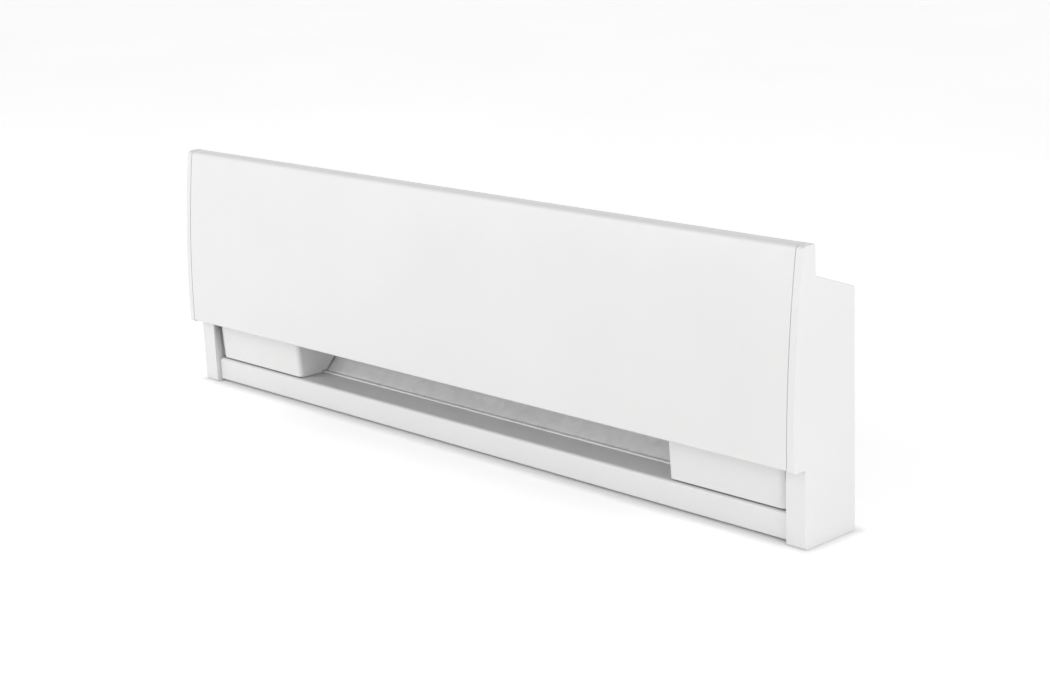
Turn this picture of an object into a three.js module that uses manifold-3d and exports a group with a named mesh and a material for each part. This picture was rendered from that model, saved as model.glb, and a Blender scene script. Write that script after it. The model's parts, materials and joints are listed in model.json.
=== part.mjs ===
// Electric baseboard heater: a curved front panel between two end caps, a folded steel casing with an air
// intake at the bottom and an outlet at the top, a wiring compartment at each end and a finned element.
//
// Units are millimetres. X runs along the heater, Y towards the wall and Z up. Sections are drawn in the
// Y-Z plane with y = 0 on the end caps' lower front faces; the exported group is moved at the end so that
// its origin is the middle of the base of the bounding box.

import * as THREE from 'three';
import { mergeVertices } from 'three/addons/utils/BufferGeometryUtils.js';
import Module from 'manifold-3d';

const wasm = await Module();
wasm.setup();

// ---------------------------------------------------------------------------------------------------------
// Driving dimensions
// ---------------------------------------------------------------------------------------------------------

const LENGTH = 690;
const HEIGHT = 208;
const CASE_DEPTH = 53; // end cap, from its lower front face to the wall
const BACK_HEIGHT = 172; // end cap at the wall
const SHOULDER_HEIGHT = 186.5; // end cap just behind its wing

const PANEL_STANDOFF = 12.2; // panel ahead of the end caps' lower front faces
const PANEL_BOTTOM = 57.3;
const PANEL_RADIUS = 990; // vertical curve of the front panel
const PANEL_UPRIGHT_AT = 55; // height at which that curve stands vertical
const TOP_REAR = 12; // rear edge of the panel's top and of the cap wings

const SHEET = 1.2; // casing steel
const PANEL_SHEET = 1.1;
const COVER_SHEET = 1.0;
const REFLECTOR_SHEET = 0.8;
const GAP = 0.35; // between pieces that touch

const CAP_WIDTH = 17;
const CAP_SIDE = 2; // end cap's outer wall
const CAP_RIM = 1.6; // end cap's rims
const WING_WIDTH = 6;
const WING_BOTTOM = 56.2;
const PANEL_SEAM = 0.5; // between panel end and cap wing

const RAIL_FRONT = 3.8; // rail's front face, behind the caps' lower front faces
const FLOOR_HEIGHT = 21.6; // top of the rail and of the intake floor
const FLOOR_REAR = 36;

const REFLECTOR_Y = 47.4; // upright part of the reflector, front face
const REFLECTOR_HEM_Y = 30.8;
const REFLECTOR_BEND_Y = 34.8;

const LEFT_COVER_X = -211; // inner side faces of the two wiring covers
const RIGHT_COVER_X = 216.5;
const COVER_BOTTOM = 22.9;
const COVER_TOP = 56.4;
const COVER_TOP_Y = 3.4; // front face at the top; it leans back towards the bottom
const COVER_LEAN = 2.2; // how far, over its height
const COVER_BEND = 4; // outer radius between front and side wall
const COVER_END_GAP = 5; // from each cover's outer edge to the end cap, closed by the cap's flange
const BOX_FRONT_Y = 4.4;
const BOX_BOTTOM = 58.2; // lower edge of the compartment boxes' fixed fronts
const BOX_TOP = 150;

const ELEMENT_Y = 26;
const ELEMENT_Z = 102;
const SHEATH_RADIUS = 4;
const SLEEVE_RADIUS = 6;
const FIN_DEPTH = 36;
const FIN_HEIGHT = 60;
const FIN_THICKNESS = 0.6;
const FIN_PITCH = 8;
const FIN_COUNT = 50; // even, so that the centre support stands between two fins
const TUBE_BEYOND_BOX = 22; // sheath beyond each partition

const WIRE_RADIUS = 1.6;
const CAPILLARY_RADIUS = 1.3;
const CAPILLARY_Y = 30;
const CAPILLARY_Z = 138;

const PIVOT_Y = 6; // line of the panel's top hooks
const PIVOT_Z = 204;
const HOOK_OFFSET = 198; // outer hooks, from the element's centre

// Places that follow from them
const HALF = LENGTH / 2;
const CAP_INNER = HALF - CAP_WIDTH;
const CAP_POCKET = HALF - CAP_SIDE;
const WING_INNER = HALF - WING_WIDTH;
const PANEL_HALF = WING_INNER - PANEL_SEAM;
const RAIL_HALF = CAP_INNER - 0.4;
const SHELL_HALF = CAP_POCKET - GAP;
const SHELL_BOTTOM = CAP_RIM + 0.3;
const COVER_HALF = CAP_INNER - COVER_END_GAP;
const SHOULDER_SLOPE = (SHOULDER_HEIGHT - BACK_HEIGHT) / (CASE_DEPTH - TOP_REAR);
const ELEMENT_X = (LEFT_COVER_X + RIGHT_COVER_X) / 2;
const LEAD_HOLE_X = 290;
const LEAD_HOLE_Y = 20;
const SCREW_SHANK = 1.5;

// The two ends of the heater, with what differs between them
const ENDS = [
  { name: 'left', side: -1, coverX: LEFT_COVER_X },
  { name: 'right', side: 1, coverX: RIGHT_COVER_X },
];

// ---------------------------------------------------------------------------------------------------------
// Finishes
// ---------------------------------------------------------------------------------------------------------

function finish(color, roughness, metalness) {
  return { color, roughness, metalness };
}

const WHITE_PAINT = finish(0xf1f1ef, 0.45, 0);
const GALVANISED = finish(0xa9adb0, 0.4, 0.8);
const ALUMINIUM = finish(0xc9ccd0, 0.35, 0.9);
const SHEATH_STEEL = finish(0x7c7a76, 0.4, 0.85);
const ZINC = finish(0xb9bcc0, 0.35, 0.9);
const BRASS = finish(0xb99a55, 0.3, 0.9);
const COPPER = finish(0xb87350, 0.35, 0.9);
const CERAMIC = finish(0xe7e1d4, 0.6, 0);
const BLACK_PLASTIC = finish(0x1d1d1f, 0.5, 0);
const GREY_PLASTIC = finish(0x8c8f92, 0.55, 0);
const RED_INSULATION = finish(0xa8302a, 0.5, 0);
const BLACK_INSULATION = finish(0x232325, 0.5, 0);
const ORANGE_PLASTIC = finish(0xd9772b, 0.5, 0);
const GREEN_STEEL = finish(0x2f8f4e, 0.4, 0.5);
const RUBBER = finish(0x2a2a2c, 0.8, 0);

// ---------------------------------------------------------------------------------------------------------
// Sections: lists of [y, z, radius] corners turned into rounded lines and outlines
// ---------------------------------------------------------------------------------------------------------

const ARC_STEPS = 4;

// The points of one corner: the corner itself, or an arc of the given radius that cuts it off.
function cornerPoints(previous, corner, next, radius) {
  if (!radius) {
    return [corner];
  }
  const back = previous.clone().sub(corner).normalize();
  const ahead = next.clone().sub(corner).normalize();
  const halfAngle = Math.acos(THREE.MathUtils.clamp(back.dot(ahead), -1, 1)) / 2;
  const reach = radius / Math.tan(halfAngle);
  const start = corner.clone().addScaledVector(back, reach);
  const end = corner.clone().addScaledVector(ahead, reach);
  const toCentre = back.clone().add(ahead).normalize();
  const centre = corner.clone().addScaledVector(toCentre, radius / Math.sin(halfAngle));
  const from = start.clone().sub(centre);
  const sweep = Math.atan2(from.cross(end.clone().sub(centre)), from.dot(end.clone().sub(centre)));
  const points = [];
  for (let i = 0; i <= ARC_STEPS; i += 1) {
    points.push(from.clone().rotateAround(new THREE.Vector2(), (sweep * i) / ARC_STEPS).add(centre));
  }
  return points;
}

function sharpLine(corners) {
  return corners.map(([y, z]) => new THREE.Vector2(y, z));
}

function roundedLine(corners, closed = false) {
  const places = sharpLine(corners);
  const count = places.length;
  const points = [];
  for (let i = 0; i < count; i += 1) {
    const atEnd = !closed && (i === 0 || i === count - 1);
    const radius = atEnd ? 0 : corners[i][2];
    const previous = places[(i + count - 1) % count];
    const next = places[(i + 1) % count];
    points.push(...cornerPoints(previous, places[i], next, radius));
  }
  return points;
}

// A line moved sideways by `distance`, to the right of the way it runs.
function offsetLine(points, distance) {
  const last = points.length - 1;
  return points.map((point, i) => {
    const before = points[i].clone().sub(points[Math.max(i - 1, 0)]);
    const after = points[Math.min(i + 1, last)].clone().sub(points[i]);
    const normals = [before, after]
      .filter((step) => step.length() > 0)
      .map((step) => new THREE.Vector2(step.y, -step.x).normalize());
    const normal = normals[0].clone().add(normals[normals.length - 1]).normalize();
    return point.clone().addScaledVector(normal, distance / normal.dot(normals[0]));
  });
}

// The closed outline of a bent sheet whose outer face follows the corners, its metal on the right of them.
function sheetOutline(corners, thickness) {
  const outer = roundedLine(corners);
  return [...outer, ...offsetLine(outer, thickness).reverse()];
}

// The front panel's curve: y of its front face at height z.
function panelY(z) {
  const rise = z - PANEL_UPRIGHT_AT;
  return PANEL_RADIUS - PANEL_STANDOFF - Math.sqrt(PANEL_RADIUS ** 2 - rise ** 2);
}

function panelCurve(from, to, steps, inset = 0) {
  const corners = [];
  for (let i = 0; i <= steps; i += 1) {
    const z = THREE.MathUtils.lerp(from, to, i / steps);
    corners.push([panelY(z) + inset, z]);
  }
  return corners;
}

function shoulderZ(y) {
  return BACK_HEIGHT + SHOULDER_SLOPE * (CASE_DEPTH - y);
}

// ---------------------------------------------------------------------------------------------------------
// Solids
// ---------------------------------------------------------------------------------------------------------

// Extrudes a Y-Z outline along X.
function alongX(outline, from, to) {
  const geometry = new THREE.ExtrudeGeometry(new THREE.Shape(outline), { depth: to - from, bevelEnabled: false });
  return geometry.applyMatrix4(new THREE.Matrix4().set(0, 0, 1, from, 1, 0, 0, 0, 0, 1, 0, 0, 0, 0, 0, 1));
}

// Extrudes an X-Y outline along Z.
function alongZ(outline, from, to) {
  const geometry = new THREE.ExtrudeGeometry(new THREE.Shape(outline), { depth: to - from, bevelEnabled: false });
  return geometry.translate(0, 0, from);
}

function box([x0, x1], [y0, y1], [z0, z1]) {
  const geometry = new THREE.BoxGeometry(x1 - x0, y1 - y0, z1 - z0);
  return geometry.translate((x0 + x1) / 2, (y0 + y1) / 2, (z0 + z1) / 2);
}

// An interval along X on one side of the middle, measured outwards.
function span(side, inner, outer) {
  return side < 0 ? [-outer, -inner] : [inner, outer];
}

function rodX(radius, from, to, y, z, sides = 16) {
  const geometry = new THREE.CylinderGeometry(radius, radius, to - from, sides);
  return geometry.rotateZ(-Math.PI / 2).translate((from + to) / 2, y, z);
}

function rodY(radius, from, to, x, z, sides = 16) {
  return new THREE.CylinderGeometry(radius, radius, to - from, sides).translate(x, (from + to) / 2, z);
}

function rodZ(bottomRadius, topRadius, from, to, x, y, sides = 16) {
  const geometry = new THREE.CylinderGeometry(topRadius, bottomRadius, to - from, sides);
  return geometry.rotateX(Math.PI / 2).translate(x, y, (from + to) / 2);
}

// What a screw standing at (x, y) cuts out of a sheet lying at height z.
function screwHole(x, y, z) {
  const radius = SCREW_SHANK + GAP;
  return rodZ(radius, radius, z - 3, z + 3, x, y, 12);
}

// Turns a closed [radius, height] profile about a vertical line through (x, y).
function turnedZ(profile, x, y, sides = 16) {
  const points = profile.map(([radius, height]) => new THREE.Vector2(radius, height));
  return new THREE.LatheGeometry(points, sides).rotateX(Math.PI / 2).translate(x, y, 0);
}

// Turns a closed [radius, distance] profile about a line along X, the distances running outwards on `side`.
function turnedX(profile, side, x, y, z, sides = 16) {
  const points = profile.map(([radius, height]) => new THREE.Vector2(radius, height));
  return new THREE.LatheGeometry(points, sides).rotateZ((-side * Math.PI) / 2).translate(x, y, z);
}

// A round wire along a smooth curve through the given places.
function wire(radius, places, steps, sides = 8) {
  const curve = new THREE.CatmullRomCurve3(places.map((place) => new THREE.Vector3(...place)), false, 'chordal');
  const circle = [];
  for (let i = 0; i < sides; i += 1) {
    const angle = (i / sides) * 2 * Math.PI;
    circle.push(new THREE.Vector2(Math.cos(angle) * radius, Math.sin(angle) * radius));
  }
  return new THREE.ExtrudeGeometry(new THREE.Shape(circle), { steps, extrudePath: curve });
}

function toSolid(geometry) {
  const bare = geometry.clone();
  bare.deleteAttribute('normal');
  bare.deleteAttribute('uv');
  const merged = mergeVertices(bare, 1e-4);
  const corners = merged.index.array;
  const triVerts = [];
  for (let i = 0; i < corners.length; i += 3) {
    const [a, b, c] = [corners[i], corners[i + 1], corners[i + 2]];
    if (a !== b && b !== c && c !== a) {
      triVerts.push(a, b, c);
    }
  }
  const vertProperties = Float32Array.from(merged.attributes.position.array);
  return new wasm.Manifold(new wasm.Mesh({ numProp: 3, vertProperties, triVerts: Uint32Array.from(triVerts) }));
}

function toGeometry(solid) {
  const mesh = solid.getMesh();
  const geometry = new THREE.BufferGeometry();
  geometry.setAttribute('position', new THREE.BufferAttribute(mesh.vertProperties, 3));
  geometry.setIndex(new THREE.BufferAttribute(mesh.triVerts, 1));
  geometry.computeVertexNormals();
  return geometry;
}

function join(...geometries) {
  return toGeometry(geometries.map(toSolid).reduce((whole, solid) => whole.add(solid)));
}

function cut(geometry, ...tools) {
  return toGeometry(tools.map(toSolid).reduce((whole, tool) => whole.subtract(tool), toSolid(geometry)));
}

// ---------------------------------------------------------------------------------------------------------
// Casing
// ---------------------------------------------------------------------------------------------------------

const HOOD_LIP_Y = 30;
const HOOD_DROP = 2.1; // hood below the caps' sloping tops
const HOOD_LIP = 4;
const SHELL_TOE_Y = 10;
const WALL_SCREW_X = 280;
const WALL_SCREW_Z = 125;
const WALL_SCREW_RADIUS = 1.9;

function backShell() {
  const hoodFront = shoulderZ(HOOD_LIP_Y) - HOOD_DROP;
  const outline = sheetOutline(
    [
      [HOOD_LIP_Y, hoodFront - HOOD_LIP],
      [HOOD_LIP_Y, hoodFront, 1.6],
      [CASE_DEPTH, BACK_HEIGHT - HOOD_DROP, 2],
      [CASE_DEPTH, SHELL_BOTTOM, 2],
      [SHELL_TOE_Y, SHELL_BOTTOM],
    ],
    SHEET,
  );
  const holes = ENDS.flatMap(({ side }) => [
    rodY(WALL_SCREW_RADIUS, CASE_DEPTH - 3, CASE_DEPTH + 1, side * WALL_SCREW_X, WALL_SCREW_Z),
    rodZ(CAP_SCREW_HOLE, CAP_SCREW_HOLE, 1, 4, side * CAP_SCREW_X, CAP_SCREW_Y),
  ]);
  return cut(alongX(outline, -SHELL_HALF, SHELL_HALF), ...holes);
}

const RAIL_SHEET = 1;
const RAIL_BOTTOM = 0.5;
const RAIL_TOE_Y = 14;

function bottomRail() {
  const outline = sheetOutline(
    [
      [RAIL_TOE_Y, RAIL_BOTTOM],
      [RAIL_FRONT, RAIL_BOTTOM, 1.4],
      [RAIL_FRONT, FLOOR_HEIGHT, 2.6],
      [FLOOR_REAR, FLOOR_HEIGHT, 1.4],
      [FLOOR_REAR, SHELL_BOTTOM + SHEET + 0.4],
    ],
    RAIL_SHEET,
  );
  const holes = ENDS.flatMap(({ side, coverX }) => [
    rodZ(GROMMET_HOLE, GROMMET_HOLE, FLOOR_HEIGHT - 3, FLOOR_HEIGHT + 1, side * LEAD_HOLE_X, LEAD_HOLE_Y),
    screwHole(side * EARTH_SCREW_X, EARTH_SCREW_Y, FLOOR_HEIGHT),
    screwHole(side * CLAMP_X, CLAMP_SCREW_Y, FLOOR_HEIGHT),
    screwHole(coverX + side * FOOT_SCREW_OFFSET, FOOT_SCREW_Y, FLOOR_HEIGHT),
  ]);
  return cut(alongX(outline, -RAIL_HALF, RAIL_HALF), ...holes);
}

const REFLECTOR_RISE = REFLECTOR_Y - REFLECTOR_BEND_Y; // the slope is at 45 degrees
const REFLECTOR_HEM_Z = FLOOR_HEIGHT + 0.3 + REFLECTOR_SHEET;
const REFLECTOR_TOP = 150;
const REFLECTOR_BEYOND_COVER = 6.5;

function heatReflector() {
  const outline = sheetOutline(
    [
      [REFLECTOR_HEM_Y, REFLECTOR_HEM_Z],
      [REFLECTOR_BEND_Y, REFLECTOR_HEM_Z, 1.5],
      [REFLECTOR_Y, REFLECTOR_HEM_Z + REFLECTOR_RISE, 2.5],
      [REFLECTOR_Y, REFLECTOR_TOP, 2],
      [REFLECTOR_Y - 3.7, REFLECTOR_TOP + 6],
    ],
    REFLECTOR_SHEET,
  );
  return alongX(outline, LEFT_COVER_X - REFLECTOR_BEYOND_COVER, RIGHT_COVER_X + REFLECTOR_BEYOND_COVER);
}

// ---------------------------------------------------------------------------------------------------------
// Front panel, its hooks and clips
// ---------------------------------------------------------------------------------------------------------

const PANEL_FLANGE_BOTTOM = 188;
const PANEL_HEM_REAR = -4;
const PANEL_HEM_HEIGHT = 4.2;
const HOOK_THICKNESS = 2;
const HOOK_NOTCH_HALF = 4.5;
const HOOK_XS = [ELEMENT_X - HOOK_OFFSET, ELEMENT_X, ELEMENT_X + HOOK_OFFSET];

function frontPanel() {
  const curve = panelCurve(PANEL_BOTTOM, HEIGHT, 14);
  curve[0][2] = 2.2;
  curve[curve.length - 1][2] = 4;
  const outline = sheetOutline(
    [
      [PANEL_HEM_REAR, PANEL_BOTTOM + PANEL_HEM_HEIGHT],
      [PANEL_HEM_REAR, PANEL_BOTTOM, 1.4],
      ...curve,
      [TOP_REAR, HEIGHT, 2],
      [TOP_REAR, PANEL_FLANGE_BOTTOM],
    ],
    PANEL_SHEET,
  );
  const notches = HOOK_XS.map((x) =>
    box(
      [x - HOOK_NOTCH_HALF, x + HOOK_NOTCH_HALF],
      [TOP_REAR - PANEL_SHEET - 1, TOP_REAR + 1],
      [PANEL_FLANGE_BOTTOM - 1, PIVOT_Z - 1],
    ),
  );
  return cut(alongX(outline, -PANEL_HALF, PANEL_HALF), ...notches);
}

const HOOK_FINGER_HALF = 1.5;
const HOOK_FINGER_TOP = PIVOT_Z + 1.2;

// A plate that stands across the heater, welded under the hood, with a finger for the panel to hang on.
function panelHook(x) {
  const corners = [
    [CASE_DEPTH - SHEET - GAP, 158.5],
    [CASE_DEPTH - SHEET - GAP, shoulderZ(CASE_DEPTH) - HOOD_DROP - SHEET - 0.8],
    [HOOD_LIP_Y + SHEET + GAP, shoulderZ(HOOD_LIP_Y) - HOOD_DROP - SHEET - 1],
    [HOOD_LIP_Y + SHEET + GAP, shoulderZ(HOOD_LIP_Y) - HOOD_DROP - HOOD_LIP - GAP],
    [HOOD_LIP_Y - 2, shoulderZ(HOOD_LIP_Y) - HOOD_DROP - HOOD_LIP - GAP],
    [14, 190, 3],
    [PIVOT_Y + HOOK_FINGER_HALF, 196.5, 1],
    [PIVOT_Y + HOOK_FINGER_HALF, HOOK_FINGER_TOP, 0.8],
    [PIVOT_Y - HOOK_FINGER_HALF, HOOK_FINGER_TOP, 0.8],
    [PIVOT_Y - HOOK_FINGER_HALF, 190, 3],
    [14, 177, 3],
    [31, 162, 4],
  ];
  return alongX(roundedLine(corners, true), x - HOOK_THICKNESS / 2, x + HOOK_THICKNESS / 2);
}

const CLIP_WIDTH = 14;
const CLIP_SHEET = 0.8;
const CLIP_REACH_Z = 68;

// A spring strip on the compartment box that steadies the panel's lower part.
function panelClip(x) {
  const base = BOX_FRONT_Y - GAP;
  const tip = panelY(CLIP_REACH_Z) + PANEL_SHEET + CLIP_SHEET + 0.5;
  const outline = sheetOutline(
    [
      [tip + 3, CLIP_REACH_Z - 5],
      [tip, CLIP_REACH_Z, 1.2],
      [tip + 3.5, CLIP_REACH_Z + 6, 2],
      [base, CLIP_REACH_Z + 10, 2],
      [base, CLIP_REACH_Z + 24],
    ],
    -CLIP_SHEET,
  );
  return alongX(outline, x - CLIP_WIDTH / 2, x + CLIP_WIDTH / 2);
}

// ---------------------------------------------------------------------------------------------------------
// End caps
// ---------------------------------------------------------------------------------------------------------

const CAP_SCREW_X = 334;
const CAP_SCREW_Y = 30;
const CAP_SCREW_HOLE = SCREW_SHANK + GAP;
const COUNTERSINK_RADIUS = 3.3;
const RETURN_SHEET = 1.4; // the cap's front turns back beside the wiring cover, then in behind its edge
const RETURN_DEPTH = 9.6;
const FLANGE_WIDTH = 9;

function capOutline() {
  const curve = panelCurve(WING_BOTTOM, HEIGHT, 14);
  curve[0][2] = 2.6;
  curve[curve.length - 1][2] = 4;
  return roundedLine(
    [
      [0, 0, 2.2],
      [0, WING_BOTTOM, 0.8],
      ...curve,
      [TOP_REAR, HEIGHT, 1.6],
      [TOP_REAR, SHOULDER_HEIGHT, 0.8],
      [CASE_DEPTH, BACK_HEIGHT, 1.6],
      [CASE_DEPTH, 0, 2.2],
    ],
    true,
  );
}

// The hollow inside the rims. It runs out through the back, so the cap is open towards the wall.
function capPocket() {
  const curve = panelCurve(WING_BOTTOM + CAP_RIM, HEIGHT - CAP_RIM, 14, CAP_RIM);
  curve[0][2] = 1;
  curve[curve.length - 1][2] = 2.4;
  const behind = CASE_DEPTH + 4;
  const rimDrop = CAP_RIM * 1.06;
  return roundedLine(
    [
      [CAP_RIM, CAP_RIM, 1],
      [CAP_RIM, WING_BOTTOM + CAP_RIM],
      ...curve,
      [TOP_REAR - CAP_RIM, HEIGHT - CAP_RIM],
      [TOP_REAR - CAP_RIM, shoulderZ(TOP_REAR - CAP_RIM) - rimDrop],
      [behind, shoulderZ(behind) - rimDrop],
      [behind, CAP_RIM],
    ],
    true,
  );
}

function endCap(side) {
  const whole = alongX(capOutline(), ...span(side, CAP_INNER, HALF));
  const pocket = alongX(capPocket(), ...span(side, CAP_INNER - 1, CAP_POCKET));
  const panelEnd = box(
    span(side, CAP_INNER - 1, WING_INNER),
    [-PANEL_STANDOFF - 1, TOP_REAR + 1],
    [WING_BOTTOM, HEIGHT + 1],
  );
  const countersink = rodZ(
    COUNTERSINK_RADIUS,
    CAP_SCREW_HOLE,
    0,
    CAP_RIM,
    side * CAP_SCREW_X,
    CAP_SCREW_Y,
  );
  const through = rodZ(CAP_SCREW_HOLE, CAP_SCREW_HOLE, -1, 3, side * CAP_SCREW_X, CAP_SCREW_Y);
  const returnWall = box(
    span(side, CAP_INNER, CAP_INNER + RETURN_SHEET),
    [CAP_RIM / 2, RETURN_DEPTH],
    [CAP_RIM / 2, WING_BOTTOM - 0.2],
  );
  const flange = box(
    span(side, CAP_INNER - FLANGE_WIDTH, CAP_INNER + RETURN_SHEET),
    [RETURN_DEPTH - SHEET, RETURN_DEPTH],
    [COVER_BOTTOM, WING_BOTTOM - 0.2],
  );
  return join(cut(whole, pocket, panelEnd, countersink, through), returnWall, flange);
}

function capScrew(side) {
  const profile = [
    [0, 0.15],
    [COUNTERSINK_RADIUS - 0.4, 0.15],
    [SCREW_SHANK, CAP_RIM - 0.15],
    [SCREW_SHANK, 8],
    [0, 9.2],
  ];
  return turnedZ(profile, side * CAP_SCREW_X, CAP_SCREW_Y, 12);
}

// ---------------------------------------------------------------------------------------------------------
// Wiring compartments
// ---------------------------------------------------------------------------------------------------------

const BUSH_HOLE = 8;
const CAPILLARY_HOLE = 3;
const FOOT_SCREW_OFFSET = 9;
const FOOT_SCREW_Y = 18;
const FOOT_LENGTH = 12;
const BOX_FLOOR = FLOOR_HEIGHT + 0.4; // underside of the boxes' feet
const PARTITION_FRONT_Y = 9.2; // below the fixed front, behind the wiring cover
const SLOPE_CLEARANCE = 1.2; // above the reflector's slope

// Where each compartment's partition stands, measured outwards from the middle of the heater.
function partitionSpan(coverX) {
  const inner = Math.abs(coverX) + COVER_SHEET + GAP;
  return [inner, inner + SHEET];
}

function compartmentBox({ side, coverX }) {
  const [inner, outer] = partitionSpan(coverX);
  const rear = REFLECTOR_Y - 0.6;
  const hemFront = REFLECTOR_HEM_Y - 1;
  const aboveHem = REFLECTOR_HEM_Z + SLOPE_CLEARANCE;
  const partition = alongX(
    sharpLine([
      [BOX_FRONT_Y, BOX_TOP],
      [BOX_FRONT_Y, BOX_BOTTOM],
      [PARTITION_FRONT_Y, BOX_BOTTOM],
      [PARTITION_FRONT_Y, BOX_FLOOR],
      [hemFront, BOX_FLOOR],
      [hemFront, aboveHem],
      [REFLECTOR_BEND_Y - 0.5, aboveHem],
      [rear, aboveHem + REFLECTOR_RISE],
      [rear, BOX_TOP - 4],
      [REFLECTOR_Y - 4, BOX_TOP],
    ]),
    ...span(side, inner, outer),
  );
  const front = box(span(side, inner, RAIL_HALF), [BOX_FRONT_Y, BOX_FRONT_Y + SHEET], [BOX_BOTTOM, BOX_TOP]);
  const top = box(span(side, inner, RAIL_HALF), [BOX_FRONT_Y, REFLECTOR_Y - 4], [BOX_TOP - SHEET, BOX_TOP]);
  const foot = box(span(side, inner, outer + FOOT_LENGTH), [11, 25], [BOX_FLOOR, BOX_FLOOR + SHEET]);
  const [x0, x1] = span(side, inner - 2, outer + 2);
  const holes = [
    rodX(BUSH_HOLE, x0, x1, ELEMENT_Y, ELEMENT_Z),
    screwHole(coverX + side * FOOT_SCREW_OFFSET, FOOT_SCREW_Y, BOX_FLOOR),
  ];
  if (side > 0) {
    holes.push(rodX(CAPILLARY_HOLE, x0, x1, CAPILLARY_Y, CAPILLARY_Z, 12));
  }
  return cut(join(partition, front, top, foot), ...holes);
}

// A front plate that leans back towards the bottom, a rounded corner and a side wall that stops just above
// the floor and the reflector's slope. A tab at the top reaches in under the box's fixed front.
function wiringCover({ side, coverX }) {
  const toEnd = -side; // towards the middle of the heater
  const corner = new THREE.Vector2(coverX + side * COVER_BEND, COVER_TOP_Y + COVER_BEND);
  const bend = (radius) => {
    const points = [];
    for (let i = 0; i <= 6; i += 1) {
      const angle = (i / 6) * (Math.PI / 2);
      points.push(
        new THREE.Vector2(corner.x + toEnd * radius * Math.sin(angle), corner.y - radius * Math.cos(angle)),
      );
    }
    return points;
  };
  const endX = side * COVER_HALF;
  const wallRear = REFLECTOR_Y - 2.6;
  const profile = [
    new THREE.Vector2(endX, COVER_TOP_Y),
    ...bend(COVER_BEND),
    new THREE.Vector2(coverX, wallRear),
    new THREE.Vector2(coverX + side * COVER_SHEET, wallRear),
    ...bend(COVER_BEND - COVER_SHEET).reverse(),
    new THREE.Vector2(endX, COVER_TOP_Y + COVER_SHEET),
  ];
  const lean = -COVER_LEAN / (COVER_TOP - COVER_BOTTOM);
  const shear = new THREE.Matrix4().set(1, 0, 0, 0, 0, 1, lean, -lean * COVER_TOP, 0, 0, 1, 0, 0, 0, 0, 1);
  const bent = alongZ(profile, COVER_BOTTOM, COVER_TOP).applyMatrix4(shear);
  const tab = box(
    span(side, Math.abs(coverX) + 40, Math.abs(coverX) + 56),
    [COVER_TOP_Y + 0.5, BOX_FRONT_Y + 8],
    [COVER_TOP - COVER_SHEET, COVER_TOP],
  );
  const wallBottom = REFLECTOR_HEM_Z + 0.7;
  const behind = REFLECTOR_Y + 2;
  const slopeFoot = REFLECTOR_BEND_Y - 1.4;
  const belowWall = alongX(
    sharpLine([
      [COVER_TOP_Y + COVER_LEAN + COVER_BEND, COVER_BOTTOM - 1],
      [COVER_TOP_Y + COVER_LEAN + COVER_BEND, wallBottom],
      [slopeFoot, wallBottom],
      [behind, wallBottom + behind - slopeFoot],
      [behind, COVER_BOTTOM - 1],
    ]),
    coverX - 3,
    coverX + 3,
  );
  return cut(join(bent, tab), belowWall);
}

function footScrew({ side, coverX }) {
  const top = BOX_FLOOR + SHEET + 0.3;
  return panScrew(coverX + side * FOOT_SCREW_OFFSET, FOOT_SCREW_Y, top);
}

// A pan-head screw with its head standing on height z and its shank pointing down.
function panScrew(x, y, z) {
  const profile = [
    [0, z - 7],
    [SCREW_SHANK, z - 5.8],
    [SCREW_SHANK, z],
    [3, z],
    [3, z + 1.2],
    [2.2, z + 2],
    [0, z + 2.2],
  ];
  return turnedZ(profile, x, y, 12);
}

const EARTH_SCREW_X = 305;
const EARTH_SCREW_Y = 29;
const CLAMP_X = 312;
const CLAMP_SCREW_Y = 11.5;
const CLAMP_WIDTH = 9;

function cableClamp(side) {
  const foot = FLOOR_HEIGHT + GAP;
  const outline = sheetOutline(
    [
      [8.5, foot + SHEET],
      [15, foot + SHEET, 1],
      [16.5, foot + 6.5, 2],
      [23, foot + 6.5, 2],
      [24.5, foot + SHEET],
    ],
    SHEET,
  );
  const strap = alongX(outline, ...span(side, CLAMP_X - CLAMP_WIDTH / 2, CLAMP_X + CLAMP_WIDTH / 2));
  return cut(strap, screwHole(side * CLAMP_X, CLAMP_SCREW_Y, foot));
}

const GROMMET_HOLE = 6;
const GROMMET_BORE = 3.3;

function grommet(side) {
  const [low, high] = [FLOOR_HEIGHT - RAIL_SHEET - 0.3, FLOOR_HEIGHT + 0.3];
  const profile = [
    [GROMMET_BORE, low - 1.4],
    [7.4, low - 1.4],
    [7.4, low],
    [GROMMET_HOLE - 0.4, low],
    [GROMMET_HOLE - 0.4, high],
    [7.4, high],
    [7.4, high + 1.4],
    [GROMMET_BORE, high + 1.4],
    [GROMMET_BORE, low - 1.4],
  ];
  return turnedZ(profile, side * LEAD_HOLE_X, LEAD_HOLE_Y);
}

// ---------------------------------------------------------------------------------------------------------
// Element
// ---------------------------------------------------------------------------------------------------------

const TUBE_LEFT = LEFT_COVER_X - COVER_SHEET - GAP - SHEET - TUBE_BEYOND_BOX;
const TUBE_RIGHT = RIGHT_COVER_X + COVER_SHEET + GAP + SHEET + TUBE_BEYOND_BOX;
const PIN_RADIUS = 1.6;
const PIN_LENGTH = 15.5;
const LUG_RADIUS = 3.2;
const LUG_LENGTH = 14;
const LUG_BORE = 2.1;

function elementTube() {
  return rodX(SHEATH_RADIUS, TUBE_LEFT, TUBE_RIGHT, ELEMENT_Y, ELEMENT_Z);
}

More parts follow.
